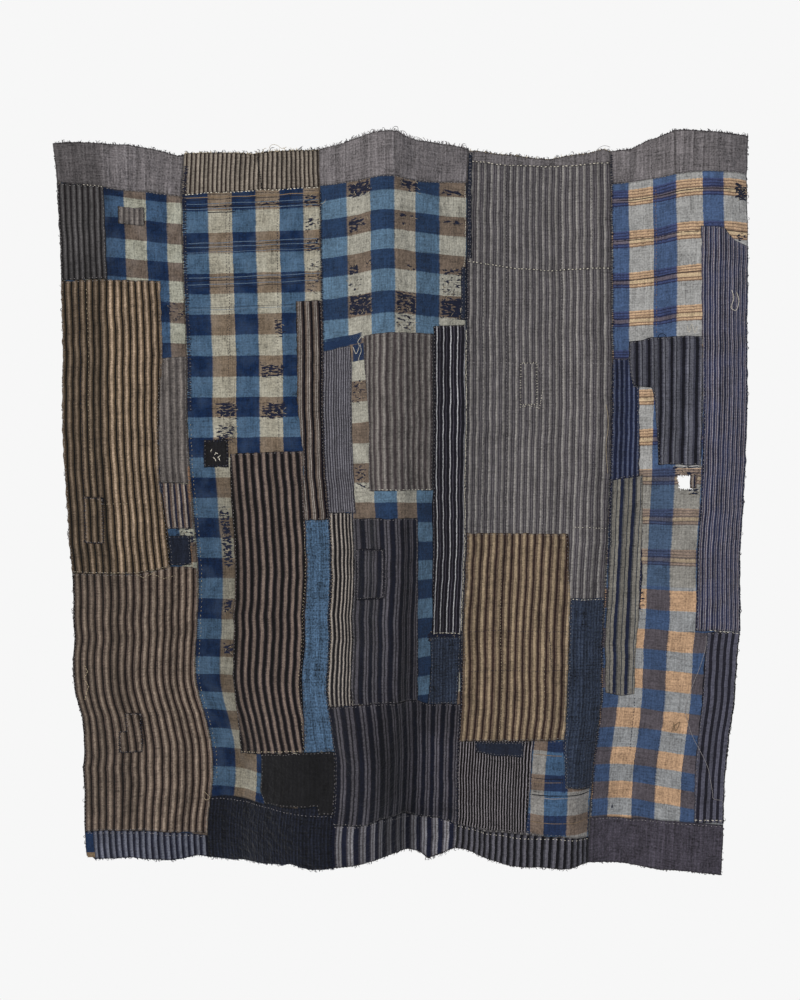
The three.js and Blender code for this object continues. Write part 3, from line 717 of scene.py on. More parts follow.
indigo_check_1 = cotton("indigo check, first panel", checked(
    halves("#0b2241", "#354e6a"), halves("#63574e", "#959588")), fade=("#6c7a84", 0.08), mottle=0.32)
charcoal_stripe = cotton("charcoal striped cotton", striped(
    ((0, "#161316"), (0.32, "#413f40"), (0.55, "#5b595a"), (0.85, "#403e3f"))))
brown_stripe_1 = cotton("brown striped cotton", striped(
    ((0, "#0c0806"), (0.2, "#594b3c"), (0.42, "#968370"), (0.72, "#615240"), (0.88, "#3c3024"))),
    mottle=0.3)
brown_stripe_low = cotton("brown striped cotton, lower cloth", striped(
    ((0, "#16100e"), (0.2, "#564942"), (0.42, "#87796c"), (0.72, "#5e5147"), (0.88, "#382d28"))),
    mottle=0.3)
grey_stripe_1 = cotton("grey striped cotton", striped(
    ((0, "#413d3c"), (0.3, "#595452"), (0.55, "#716b67"), (0.85, "#595452"))))
navy_brown_stripe = cotton("navy and brown striped cotton",
                           striped(((0, "#1e1e2c"), (0.4, "#5e5048"), (0.7, "#8a8078"))))
navy_plain = cotton("plain navy cotton", striped(((0, "#1a202e"), (0.5, "#1c2230"))))

sew("panel_1", 1, 0, indigo_check_1,
    ((105, 0), (152, 0.5), (203, 1), (251, 1.5), (300, 2)),
    rows=((121, 0.5), (218, 1.5), (306, 2.5), (406, 3.5), (500, 4.5)),
    top=HEAD_SEAM_1, bottom=FOOT_SEAM_1)
sew("charcoal_patch_1", 1, 1, charcoal_stripe, ((4, 0), (17, 1)),
    top=[(0, 92), (107, 101)], bottom=[(0, 316), (107, 313)])
sew("small_grey_patch_1", 1, 1, grey_stripe_1, ((137, 0), (149, 1)),
    top=[(137, 143), (197, 138)], bottom=[(137, 183), (197, 180)])
sew("brown_upper_1", 1, 1, brown_stripe_1, ((8, 0), (212, 12.6)),
    top=[(0, 318), (229, 308)], right=[(228, 485), (222, 565), (217, 680), (214, 781), (222, 889)],
    bottom=[(0, 990), (153, 991), (222, 978)])
sew("brown_lower_1", 1, 1, brown_stripe_low, ((19, 0), (298, 16.4)),
    top=[(0, 990), (153, 991), (222, 978), (272, 979), (285, 985)],
    bottom=[(0, 1590), (61, 1587), (140, 1586), (203, 1594), (285, 1606)])
sew("grey_strip_1", 1, 1, grey_stripe_1, ((228, 0), (244, 1)),
    top=[(228, 487), (285, 482)], left=[(222, 565), (217, 680)], bottom=[(215, 781), (285, 781)])
sew("navy_brown_1", 1, 1, navy_brown_stripe, ((215, 0), (229, 1)),
    top=[(215, 781), (285, 781)], bottom=[(222, 889), (283, 888)])
sew("navy_patch_1", 1, 1, navy_plain, PLAIN,
    top=[(222, 905), (272, 906)], bottom=[(222, 976), (272, 975)])
sew("upper_darn_1", 1, 2, brown_stripe_1, ((8, 0.3), (212, 12.9)),
    top=[(43, 814), (86, 816)], bottom=[(37, 921), (80, 921)])
sew("lower_darn_1", 1, 2, brown_stripe_low, ((19, 0.3), (298, 16.7)),
    top=[(104, 1313), (139, 1315)], left=[(100, 1354), (84, 1355)], bottom=[(80, 1403), (130, 1405)])


# Second panel
# A check like the first one's, in wider columns, worn through in its brown cells. A brown and black
# striped cloth, a faded blue one and a black one are sewn over its lower half.
HEAD_SEAM_2 = [(0, 98), (64, 94), (191, 92), (237, 91), (330, 91)]
FOOT_SEAM_2 = [(0, 1523), (60, 1517), (149, 1518), (291, 1508), (330, 1523)]

indigo_check_2 = cotton("indigo check, second panel", checked(
    halves("#062041", "#3c556e"), halves("#706253", "#969284")), fade=("#6c7a84", 0.08), mottle=0.32)
narrow_stripe = cotton("narrow brown, navy and white striped cotton", striped(
    ((0, "#000008"), (0.25, "#40352f"), (0.33, "#5b5048"), (0.5, "#807974"), (0.6, "#40352f"),
     (0.7, "#8a847e"), (0.82, "#3a302e")), soft=0.015))
brown_black_stripe = cotton("brown and black striped cotton", striped(
    ((0, "#050406"), (0.3, "#352d2e"), (0.45, "#6b5e56"), (0.8, "#332b2c"), (0.92, "#040308"))),
    mottle=0.25)
black_plain = cotton("plain black cotton", striped(((0, "#131316"), (0.5, "#161618"))), mottle=0.3)
faded_blue = cotton("faded indigo cotton", striped(halves("#3c526a", "#3f566e")), slub=0.7, mottle=0.2)

sew("panel_2", 2, 0, indigo_check_2,
    ((3, 0), (65, 0.5), (123, 1), (178, 1.5), (235, 2), (292, 2.5), (345, 3)),
    rows=((89, 0), (139, 0.5), (191, 1), (384, 3), (580, 5), (769, 7), (960, 9), (1153, 11), (1318, 13),
          (1497, 15)),
    top=HEAD_SEAM_2, bottom=FOOT_SEAM_2)
sew("narrow_stripes_2", 2, 1, narrow_stripe, ((282.8, 0), (302.5, 1)),
    top=[(267, 354), (330, 356)], left=[(268, 586), (279, 706)], bottom=[(273, 868), (330, 868)])
sew("brown_black_2", 2, 1, brown_black_stripe, ((118, 0), (266, 8)),
    top=[(101, 712), (279, 706)], right=[(273, 868), (272, 1279)],
    left=[(96, 821), (92, 1082), (98, 1268)], bottom=[(75, 1416), (144, 1406), (261, 1391)])
sew("small_black_2", 2, 1, black_plain, PLAIN,
    top=[(39, 679), (98, 677)], bottom=[(36, 743), (96, 743)])
sew("blue_patch_2", 2, 1, faded_blue, ((273, 0), (281, 1)),
    top=[(273, 868), (330, 868)], left=[(272, 1279)], bottom=[(261, 1391), (330, 1388)])
sew("black_patch_2", 2, 1, black_plain, PLAIN,
    top=[(144, 1406), (261, 1391), (330, 1388)], left=[(142, 1488)],
    bottom=[(156, 1517), (291, 1507), (298, 1524), (330, 1523)])


# Third panel
# The same kind of check, in the middle of the cloth and on its tallest fold. Grey, white and black, and
# navy striped cloths cover it from the waist down.
HEAD_SEAM_3 = [(0, 89), (73, 91), (143, 94), (201, 94), (259, 97), (319, 93), (385, 88)]
FOOT_SEAM_3 = [(0, 1546), (48, 1544), (86, 1543), (114, 1538), (178, 1547), (230, 1554), (267, 1567),
               (286, 1573), (300, 1578), (343, 1583), (385, 1594)]

indigo_check_3 = cotton("indigo check, third panel", checked(
    halves("#1d314d", "#4d667c"), halves("#685b50", "#949288")), mottle=0.3)
fine_grey = cotton("finely striped grey cotton", striped(((0, "#2a2930"), (0.5, "#64636a"))))
white_black = cotton("white and black striped cotton", striped(
    ((0, "#0c0a0e"), (0.45, "#45403f"), (0.55, "#8e8780"), (0.85, "#43403f"))))
grey_brown = cotton("grey and brown striped cotton",
                    striped(((0, "#383233"), (0.35, "#575250"), (0.6, "#75716d"), (0.85, "#565150"))))
navy_white = cotton("navy cotton with white stripes", striped(
    ((0, "#a6a6a9"), (0.14, "#12111b"), (0.46, "#45434c"), (0.56, "#100f18"), (0.9, "#1c1b25"))))
navy_grey = cotton("navy and grey striped cotton", striped(
    ((0, "#0c0f1b"), (0.34, "#232329"), (0.4, "#49474d"), (0.56, "#1a1a20"), (0.68, "#48464d"),
     (0.88, "#17171f"))))
denim = cotton("heavy dark indigo cotton", striped(((0, "#202838"), (0.4, "#28303f"), (0.7, "#2f3847"))),
               slub=0.7)

sew("panel_3", 3, 0, indigo_check_3,
    ((0, 0), (74, 0.5), (146, 1), (203, 1.5), (257, 2), (319, 2.5), (385, 3)),
    rows=((126, 0.5), (304, 2.5), (503, 4.5), (693, 6.5), (873, 8.5), (1047, 10.5), (1229, 12.5)),
    top=HEAD_SEAM_3, bottom=FOOT_SEAM_3)
sew("grey_patch_3", 3, 1, fine_grey, ((0, 0), (6.7, 1)),
    top=[(0, 474), (74, 465)], right=[(79, 501), (79, 660)], bottom=[(0, 851), (74, 851)])
sew("white_black_3", 3, 1, white_black, ((0, 0), (10.3, 1)),
    top=[(0, 851), (61, 851)], right=[(64, 1075)], bottom=[(0, 1292), (84, 1280)])
sew("grey_brown_3", 3, 1, grey_brown, ((117, 0), (133, 1)),
    top=[(117, 448), (300, 442)], left=[(122, 548), (135, 663)], bottom=[(127, 801), (299, 800)])
sew("navy_white_3", 3, 1, navy_white, ((310, 0), (380, 4)),
    top=[(301, 424), (383, 416)], left=[(300, 661), (300, 913)], bottom=[(309, 1130), (385, 1136)])
sew("navy_wedge_3", 3, 1, navy_plain, PLAIN,
    top=[(371, 283), (384, 283)], bottom=[(370, 404), (384, 405)])
sew("navy_grey_3", 3, 1, navy_grey, ((89, 0), (128, 1), (161, 2), (183, 3), (224, 5)),
    top=[(62, 863), (258, 862)], right=[(262, 1070)], left=[(65, 1075)],
    bottom=[(84, 1280), (156, 1274), (269, 1284)])
sew("denim_patch_3", 3, 1, denim, ((303, 0), (311, 1)),
    top=[(303, 1137), (385, 1143)], right=[(381, 1222)], left=[(305, 1216)],
    bottom=[(299, 1298), (376, 1304)])
sew("lower_stripes_3", 3, 1, navy_grey,
    ((5, 0), (69, 2), (122, 4), (204, 6), (271, 8), (319, 10), (365, 12)),
    top=[(0, 1292), (84, 1280), (156, 1274), (269, 1284), (299, 1298), (376, 1304), (385, 1304)],
    bottom=FOOT_SEAM_3)
sew("darn_3", 3, 2, navy_grey, ((85, 0), (124, 1), (157, 2), (179, 3)),
    top=[(71, 934), (173, 930)], right=[(172, 1037)], left=[(74, 1046)], bottom=[(76, 1051), (152, 1040)])


# Fourth panel
# A grey striped loom width in two lengths, joined by a line of white running stitches. Gold and brown,
# dark blue, pinstriped and checked cloths are sewn over its foot.
HEAD_SEAM_4 = [(0, 38), (93, 42), (156, 38), (220, 36), (280, 39), (345, 38)]
LAP_4 = [(0, 271), (64, 274), (120, 281), (263, 283), (345, 282)]
FOOT_SEAM_4 = [(0, 1594), (29, 1590), (78, 1592), (169, 1576), (246, 1571), (345, 1583)]

grey_stripe_4 = cotton("grey striped cotton, fourth panel", striped(
    ((0, "#807d7a"), (0.22, "#5d5a5b"), (0.45, "#343137"), (0.62, "#575456"), (0.78, "#3b383c"),
     (0.92, "#5b585b"))))
gold_stripe = cotton("gold and brown striped cotton", striped(
    ((0, "#8a7a64"), (0.32, "#5a4c40"), (0.48, "#271a18"), (0.74, "#5a4c40"))), mottle=0.3)
pinstripe = cotton("black and white pinstriped cotton",
                   striped(((0, "#000000"), (0.66, "#7c777c")), soft=0.01))
indigo_check_4 = cotton("indigo check patch", checked(
    halves("#1c2b48", "#3c5673"), halves("#6a5c52", "#807e7b")), mottle=0.3)

sew("panel_4_upper", 4, 0, grey_stripe_4, ((24, 0), (40, 1)), top=HEAD_SEAM_4, bottom=LAP_4)
sew("panel_4", 4, 0, grey_stripe_4, ((24, 0), (40, 1)), top=LAP_4, bottom=FOOT_SEAM_4)
sew("seam_strip_4", 4, 1, navy_plain, PLAIN, top=[(1, 20), (9, 20)],
    bottom=[(1, 262), (11, 262)])
sew("small_patch_4", 4, 1, grey_stripe_4, ((28, 0), (44, 1)),
    top=[(130, 500), (170, 499)], bottom=[(130, 598), (170, 598)])
sew("gold_patch_4", 4, 1, gold_stripe, ((10, 0), (235, 12)),
    top=[(3, 899), (249, 900)], right=[(260, 1046), (262, 1141), (256, 1252)],
    left=[(5, 1008), (6, 1150), (0, 1270)], bottom=[(0, 1395), (104, 1380), (190, 1367), (257, 1360)])
sew("denim_patch_4", 4, 1, denim, ((260, 0), (268, 1)),
    top=[(260, 1046), (345, 1047)], right=[(345, 1413)],
    left=[(262, 1141), (256, 1252), (257, 1360)], bottom=[(270, 1465), (342, 1475)])
sew("pinstripe_4", 4, 1, pinstripe, ((0, 0), (7.4, 1)),
    top=[(0, 1395), (104, 1380), (190, 1367)], right=[(192, 1475)],
    bottom=[(2, 1593), (65, 1590), (121, 1581), (188, 1569)])
sew("check_patch_4", 4, 1, indigo_check_4,
    ((196, -0.5), (226, 0), (276, 0.5), (337, 1)),
    rows=((1364, 0), (1388, 0.5), (1440, 1), (1474, 1.5), (1527, 2), (1570, 2.5)),
    top=[(190, 1367), (257, 1360), (270, 1465), (342, 1475)], left=[(192, 1475)],
    bottom=[(188, 1569), (273, 1572), (338, 1580)])
sew("small_navy_4", 4, 2, navy_plain, PLAIN,
    top=[(41, 1392), (169, 1373)], bottom=[(47, 1415), (95, 1416), (171, 1406)])


# Fifth panel
# A blue, cream and gold plaid with a tear right through it. Dark striped cloths are sewn over its right
# side and its waist.
HEAD_SEAM_5 = [(0, 87), (41, 86), (96, 87), (144, 88), (191, 89), (305, 88)]
FOOT_SEAM_5 = [(0, 1541), (97, 1546), (201, 1533), (240, 1530), (305, 1530)]
TEAR_ACROSS = (154, 186)
TEAR_DOWN = (767, 796)


def in_tear(across, down):
    """Inside the torn quarter: between its slanting left and right sides, which are ragged."""
    share = (down - TEAR_DOWN[0]) / (TEAR_DOWN[1] - TEAR_DOWN[0])
    ragged = sway(across * 0.3, down * 3, 1.6, 9, 51)
    left = TEAR_ACROSS[0] + 8 * share + ragged
    right = TEAR_ACROSS[1] - 4 + 6 * share + sway(across * 0.3, down * 3, 1.6, 9, 52)
    top = TEAR_DOWN[0] + sway(across * 3, 0, 1.5, 9, 53)
    bottom = TEAR_DOWN[1] + sway(across * 3, 0, 1.5, 9, 54)
    return (across > left) & (across < right) & (down > top) & (down < bottom)


def bundle(line, band, bright, ground):
    """Thin lines between wider bands, one of them brighter, then plain ground to the end of the step."""
    return ((0, band), (0.04, line), (0.06, band), (0.11, line), (0.13, band), (0.17, line), (0.21, bright),
            (0.3, line), (0.33, band), (0.37, line), (0.4, ground))


plaid_head = checked(bundle("#232844", "#394468", "#5b5560", "#405475"),
                     bundle("#76604f", "#b2967a", "#b8a284", "#949493"), soft=0.006)
plaid_waist = checked(bundle("#2a3048", "#3a4662", "#4a4c5a", "#40536c"),
                      bundle("#5e5450", "#86766a", "#92836f", "#83817c"), soft=0.006)
plaid_foot = checked(halves("#4f4a50", "#384b6a"), halves("#ad8e72", "#858789"))
plaid = cotton("blue, cream and gold plaid", split(split(plaid_head, plaid_waist, 7), plaid_foot, 9.9))
fine_stripe_5 = cotton("fine navy and brown striped cotton", striped(
    ((0, "#171a30"), (0.3, "#77767e"), (0.44, "#222640"), (0.6, "#5f5155"), (0.72, "#86848a"),
     (0.86, "#2c2e44"))),
    fade=("#333c60", 0.25))
charcoal_5 = cotton("charcoal and black striped cotton", striped(
    ((0, "#0d0e17"), (0.24, "#3c3d48"), (0.36, "#60616a"), (0.5, "#181923"), (0.58, "#4f5059"),
     (0.85, "#32333e"))))
navy_fine = cotton("navy cotton with thin white stripes", striped(((0, "#121930"), (0.6, "#444b61"))))
green_navy = cotton("grey-green and navy striped cotton", striped(
    ((0, "#6c6963"), (0.28, "#2b3038"), (0.36, "#75726b"), (0.6, "#171e34"), (0.88, "#454647"))))
grey_black_5 = cotton("black and grey striped cotton", striped(((0, "#181822"), (0.47, "#4d4d5a"))))

sew("panel_5", 5, 0, plaid,
    ((3, 0), (40, 0.5), (94, 1), (150, 1.5), (202, 2), (247, 2.5), (312, 3)),
    rows=((105, 0), (296, 2), (475, 4), (660, 6), (842, 8), (1026, 10), (1208, 12), (1387, 14), (1540, 16)),
    top=HEAD_SEAM_5, bottom=FOOT_SEAM_5, hole={"us": (145, 197), "vs": (758, 806), "inside": in_tear})
sew("right_stripes_5", 5, 1, fine_stripe_5, ((196, 0), (206.5, 1)),
    top=[(196, 210), (243, 213), (251, 223), (261, 232), (274, 242), (305, 252)],
    left=[(198, 375), (203, 598), (208, 821), (209, 1043)], bottom=[(208, 1111), (305, 1111)])
sew("charcoal_patch_5", 5, 1, charcoal_5, ((107, 0), (134, 1)),
    top=[(39, 455), (86, 449), (158, 453), (199, 455)], right=[(203, 598)],
    left=[(38, 475), (37, 494), (47, 557), (89, 562), (96, 592)], bottom=[(109, 741), (203, 743)])
sew("navy_stripes_5", 5, 1, navy_fine, ((7, 0), (18, 1)),
    top=[(0, 493), (37, 494), (47, 557), (59, 560)], bottom=[(0, 776), (66, 766)])
sew("green_navy_5", 5, 1, green_navy, ((10, 0), (37, 1)),
    top=[(0, 776), (66, 766), (74, 763)], right=[(75, 796), (84, 1007), (78, 1143)],
    left=[(6, 1008), (7, 1166)], bottom=[(10, 1264), (51, 1271), (78, 1266)])
sew("brown_scrap_5", 5, 1, navy_brown_stripe, PLAIN,
    top=[(182, 765), (197, 765)], bottom=[(183, 794), (198, 794)])
sew("lower_stripes_5", 5, 1, grey_black_5, ((246, 0), (260, 1)),
    top=[(234, 1113), (305, 1112)], left=[(233, 1219), (237, 1353)], bottom=[(243, 1530), (305, 1526)])


# Sewing
# Every patch and seam is sewn by hand in running stitches of thick white, cream or indigo cotton thread,
# and the long seams are overcast from edge to edge. The stitches stand a thread's thickness proud.
sewn = {}


def tubes(paths, out, radius, flatten=0.6, sides=4):
    """Round or flattened threads: rings of points about each path, in the plane across it, that narrow to
    a third at both ends. paths and out are (thread, ring, 3) in metres. Returns points and faces."""
    along = np.gradient(paths, axis=1)
    side = np.cross(along, out)
    side /= np.linalg.norm(side, axis=2, keepdims=True) + 1e-12
    up = np.cross(side, along)
    up /= np.linalg.norm(up, axis=2, keepdims=True) + 1e-12
    count, rings = paths.shape[:2]
    taper = np.ones(rings)
    taper[[0, -1]] = 0.35
    turn = 2 * math.pi * (np.arange(sides) + 0.5) / sides
    size = (np.broadcast_to(radius, count)[:, None] * taper)[..., None, None] * 0.001
    ring = side[:, :, None] * np.cos(turn)[:, None] + up[:, :, None] * np.sin(turn)[:, None] * flatten
    points = paths[:, :, None] + ring * size
    number = np.arange(count * rings * sides).reshape(count, rings, sides)
    after = np.roll(number, -1, axis=2)
    walls = np.stack([number[:, :-1], number[:, 1:], after[:, 1:], after[:, :-1]], axis=3).reshape(-1, 4)
    caps = np.concatenate([number[:, 0], number[:, -1, ::-1]])
    return points.reshape(-1, 3), np.concatenate([walls, caps])


def lay_threads(thread, panel, start, end, radius, height, arch=0.4, rings=4, bow=0.0, flatten=0.6):
    """Adds threads of one colour from start to end, which are (count, 2) places on a panel. Each rises by
    arch in its middle, and bows sideways by bow, above the given height."""
    share = np.linspace(0, 1, rings)
    run = start[:, None] * (1 - share[:, None]) + end[:, None] * share[:, None]
    rise = np.sin(math.pi * share)
    run = run + (end - start)[:, None, ::-1] * (1, -1) * (rise * np.reshape(bow, (-1, 1)))[..., None]
    lift = height + arch * rise
    paths = hang(panel, run[..., 0], run[..., 1], lift)
    out = hang(panel, run[..., 0], run[..., 1], lift + 1) - paths
    sewn.setdefault(thread, []).append(tubes(paths, out, radius, flatten))


def running_stitch(thread, panel, line, pitch, length, height, radius=0.75, cross=False, seed=1):
    """Stitches of about one length at about one pitch along a line of (across, down) places. With cross
    they lie across the line instead, as in overcasting."""
    draw = np.random.default_rng(seed + int(line[0][0] + 3 * line[0][1]))
    line = np.array(line, float)
    far = np.concatenate([[0], np.cumsum(np.hypot(*np.diff(line, axis=0).T))])
    count = max(1, int(far[-1] / pitch))
    at = (np.arange(count) + 0.5) * far[-1] / count + draw.uniform(-0.18, 0.18, count) * pitch
    middle = np.stack([np.interp(at, far, line[:, k]) for k in (0, 1)], axis=1)
    ahead = [np.interp(at + 1, far, line[:, k]) - np.interp(at - 1, far, line[:, k]) for k in (0, 1)]
    ahead = np.stack(ahead, axis=1)
    ahead /= np.linalg.norm(ahead, axis=1, keepdims=True)
    if cross:
        ahead = ahead[:, ::-1] * (1, -1)
    turn = draw.uniform(-0.3, 0.3, count)
    ahead = np.stack([ahead[:, 0] * np.cos(turn) - ahead[:, 1] * np.sin(turn),
                      ahead[:, 0] * np.sin(turn) + ahead[:, 1] * np.cos(turn)], axis=1)
    half = ahead * (length * draw.uniform(0.7, 1.2, count) / 2)[:, None]
    middle = middle + draw.uniform(-0.5, 0.5, (count, 2))
    lay_threads(thread, panel, middle - half, middle + half, radius * draw.uniform(0.8, 1.15, count),
                height)


GROUND_TOP, PATCH_TOP, DARN_TOP = (top_of(layer) for layer in (0, 1, 2))
HEM_INSET = 3.0
HEM_PITCH = 8.5
HEM_STITCH = 3.2
for panel, layer, top, right, bottom, left in hems:
    for side, inward in ((top, (0, 1)), (bottom, (0, -1)), (left, (1, 0)), (right, (-1, 0))):
        line = [(a + inward[0] * HEM_INSET, d + inward[1] * HEM_INSET) for a, d in side]
        running_stitch("grey", panel, line, HEM_PITCH, HEM_STITCH, top_of(layer), radius=0.55)

STITCH_LINES = (  # thread, panel, pitch, stitch length, thickness, height, line
    ("white", 3, 6, 7, 0.9, PATCH_TOP + 1.1, ((383, 430), (384, 1128))),
    ("white", 3, 5, 4, 0.7, GROUND_TOP, ((380, 96), (381, 262), (374, 300), (370, 400))),
    ("grey", 4, 9, 4, 0.65, GROUND_TOP, ((4, 503), (128, 500))),
    ("grey", 4, 9, 4, 0.65, GROUND_TOP, ((172, 500), (342, 506))),
    ("white", 4, 8, 3.5, 0.75, GROUND_TOP, ((262, 884), (342, 887))),
    ("white", 4, 6, 3.5, 0.7, GROUND_TOP, ((126, 604), (148, 598), (176, 606), (184, 560))),
    ("cream", 1, 11, 4, 0.6, PATCH_TOP, ((60, 330), (64, 800))),
    ("cream", 4, 12, 4, 0.6, PATCH_TOP, ((200, 910), (206, 1350))),
    ("cream", 2, 10, 4, 0.6, GROUND_TOP, ((8, 640), (10, 1480))),
    ("black", 2, 5, 3.5, 1.2, GROUND_TOP, ((179, 6), (186, 50), (191, 90))),
    ("black", 1, 9, 4, 0.6, GROUND_TOP, ((205, 4), (213, 98))),
    ("black", 3, 9, 4, 0.6, GROUND_TOP, ((176, -2), (178, 90))),
    ("black", 5, 8, 4, 0.8, GROUND_TOP, ((85, 0), (88, 82))),
    ("black", 5, 7, 4, 0.7, GROUND_TOP, ((235, 6), (236, 84))),
    ("white", 1, 8, 3.5, 0.9, GROUND_TOP, ((2, 93), (90, 99), (107, 102))),
    ("grey", 1, 8, 3.5, 0.7, GROUND_TOP, ((110, 103), (200, 101), (280, 102))),
    ("white", 2, 9, 4.5, 1.2, GROUND_TOP, ((4, 98), (64, 95), (191, 93), (328, 92))),
    ("grey", 3, 8, 3.5, 0.7, GROUND_TOP, ((2, 89), (143, 94), (259, 97), (383, 89))),
    ("white", 4, 10, 5, 1.1, GROUND_TOP, ((4, 38), (93, 41), (156, 37), (341, 38))),
    ("white", 4, 9, 4.5, 1.1, GROUND_TOP, ((2, 270), (64, 273), (120, 280), (263, 282), (341, 283))),
    ("grey", 5, 8, 3.5, 0.7, GROUND_TOP, ((2, 86), (144, 88), (303, 88))),
    ("grey", 4, 8, 4, 0.65, GROUND_TOP, ((94, 56), (101, 896))),
    ("grey", 4, 8, 4, 0.65, GROUND_TOP, ((183, 50), (187, 896))),
    ("grey", 4, 8, 4, 0.65, GROUND_TOP, ((229, 50), (231, 895))),
    ("indigo", 4, 8, 4, 0.6, GROUND_TOP, ((40, 300), (42, 890))),
    ("indigo", 4, 8, 4, 0.6, GROUND_TOP, ((300, 60), (304, 890))),
    ("grey", 4, 6, 4, 0.7, GROUND_TOP, ((172, 504), (187, 539), (180, 596))),
    ("white", 3, 9, 5, 0.9, PATCH_TOP, ((159, 799), (295, 798))),
    ("white", 3, 8, 5, 0.9, PATCH_TOP, ((309, 1128), (383, 1134))),
    ("white", 5, 8, 5, 1.0, PATCH_TOP, ((243, 1524), (303, 1520))),
    ("white", 5, 9, 5, 0.9, PATCH_TOP, ((236, 1108), (303, 1116))),
    ("white", 4, 8, 4, 0.9, PATCH_TOP, ((264, 1049), (342, 1050))),
    ("cream", 2, 8, 4, 1.0, PATCH_TOP, ((77, 1412), (144, 1402), (258, 1387))),
    ("cream", 2, 8, 3, 0.8, PATCH_TOP, ((271, 868), (266, 1100), (261, 1385))),
    ("indigo", 2, 6.5, 3.6, 0.9, GROUND_TOP, ((105, 112), (102, 348))),
    ("indigo", 2, 6.5, 3.6, 0.9, GROUND_TOP, ((114, 92), (105, 490))),
    ("indigo", 2, 6.5, 3.6, 0.9, GROUND_TOP, ((229, 117), (224, 375))),
    ("indigo", 2, 7, 3.4, 0.7, GROUND_TOP, ((100, 360), (104, 690))),
    ("indigo", 2, 7, 3.4, 0.7, GROUND_TOP, ((222, 380), (222, 690))),
    ("indigo", 1, 7, 4, 0.8, PATCH_TOP, ((39, 334), (48, 729), (35, 920))),
    ("cream", 1, 7, 3, 0.7, PATCH_TOP, ((83, 830), (139, 830))),
    ("cream", 1, 6, 5, 0.8, PATCH_TOP, ((142, 989), (160, 1001), (180, 992), (205, 1004), (233, 998))),
    ("cream", 1, 7, 3, 0.8, PATCH_TOP, ((2, 987), (153, 988), (222, 975))),
    ("cream", 1, 6, 5, 0.9, PATCH_TOP, ((29, 1201), (38, 1215), (26, 1232), (36, 1250), (22, 1282))),
    ("cream", 4, 7, 3, 0.7, PATCH_TOP, ((91, 915), (102, 1367))),
    ("indigo", 4, 6, 4, 0.7, PATCH_TOP, ((15, 1131), (258, 1123))),
    ("indigo", 4, 6, 4, 0.7, PATCH_TOP, ((14, 1224), (258, 1210))),
    ("indigo", 4, 5, 4.5, 1.0, PATCH_TOP, ((216, 1125), (221, 1209))),
    ("indigo", 5, 7, 5, 1.0, GROUND_TOP, ((81, 1273), (84, 1397))),
    ("orange", 5, 7, 4, 0.6, GROUND_TOP, ((97, 110), (98, 440))),
    ("indigo", 5, 7, 4, 0.6, GROUND_TOP, ((150, 1030), (150, 1520))),
    ("cream", 3, 7, 3, 0.9, PATCH_TOP, ((4, 856), (6, 1288))),
    ("grey", 1, 9, 3.5, 0.7, GROUND_TOP, ((2, 1595), (141, 1592), (283, 1614))),
    ("grey", 2, 9, 3.5, 0.7, GROUND_TOP, ((2, 1527), (149, 1523), (328, 1527))),
    ("grey", 3, 9, 3.5, 0.8, GROUND_TOP, ((2, 1550), (114, 1543), (267, 1571), (383, 1597))),
    ("white", 4, 9, 3.5, 0.8, GROUND_TOP, ((2, 1597), (78, 1596), (246, 1576), (343, 1586))),
    ("grey", 5, 9, 3.5, 0.8, GROUND_TOP, ((2, 1545), (97, 1550), (240, 1534), (303, 1534))),
)
for thread, panel, pitch, length, thickness, height, line in STITCH_LINES:
    running_stitch(thread, panel, line, pitch, length, height, radius=thickness)

OVERCAST = (  # thread, panel, pitch, stitch length, thickness, height, line
    ("black", 3, 4, 6, 1.1, DARN_TOP, ((71, 936), (173, 932), (172, 1037), (152, 1040), (76, 1050),
                                       (71, 936))),
    ("indigo", 1, 5, 5, 0.8, DARN_TOP, ((43, 815), (86, 817), (80, 920), (37, 920), (43, 815))),
    ("indigo", 1, 5, 5, 0.8, DARN_TOP, ((104, 1314), (139, 1316), (130, 1404), (80, 1402), (84, 1356),
                                        (100, 1355), (104, 1314))),
    ("white", 4, 7, 4, 0.7, PATCH_TOP, ((130, 501), (170, 500), (170, 597), (130, 597), (130, 501))),
    ("indigo", 2, 3.6, 13, 1.5, GROUND_TOP, ((6, 30), (5, 250), (6, 610))),
    ("grey", 2, 9, 3, 0.6, GROUND_TOP + 0.8, ((9, 30), (7, 250), (9, 610))),
    ("indigo", 2, 5.0, 8, 1.1, GROUND_TOP, ((2, 700), (2, 1500))),
    ("indigo", 3, 4.6, 8, 1.2, PATCH_TOP, ((1, 100), (1, 1640))),
    ("grey", 3, 13, 3, 0.6, PATCH_TOP + 0.7, ((2, 100), (2, 1500))),
    ("indigo", 4, 4.6, 8, 1.2, PATCH_TOP, ((1, 270), (1, 1600))),
    ("grey", 4, 11, 3, 0.6, PATCH_TOP + 0.7, ((2, 270), (2, 1500))),
    ("indigo", 5, 4.6, 8, 1.2, PATCH_TOP, ((1, 20), (1, 1530))),
    ("grey", 5, 12, 3, 0.6, PATCH_TOP + 0.7, ((2, 60), (2, 1480))),
    ("indigo", 3, 8.5, 8, 0.9, GROUND_TOP, ((6, 1550), (8, 1634))),
    ("indigo", 2, 7, 7, 1.3, PATCH_TOP, ((40, 682), (97, 680), (94, 740), (38, 741), (40, 682))),
    ("white", 2, 11, 8, 0.9, PATCH_TOP, ((52, 700), (80, 724), (60, 728), (70, 706))),
    ("orange", 1, 3, 6, 1.2, PATCH_TOP, ((284, 742), (280, 826))),
    ("orange", 1, 4, 4, 1.0, GROUND_TOP, ((273, 930), (274, 980))),
)
for thread, panel, pitch, length, thickness, height, line in OVERCAST:
    running_stitch(thread, panel, line, pitch, length, height, radius=thickness, cross=True, seed=7)


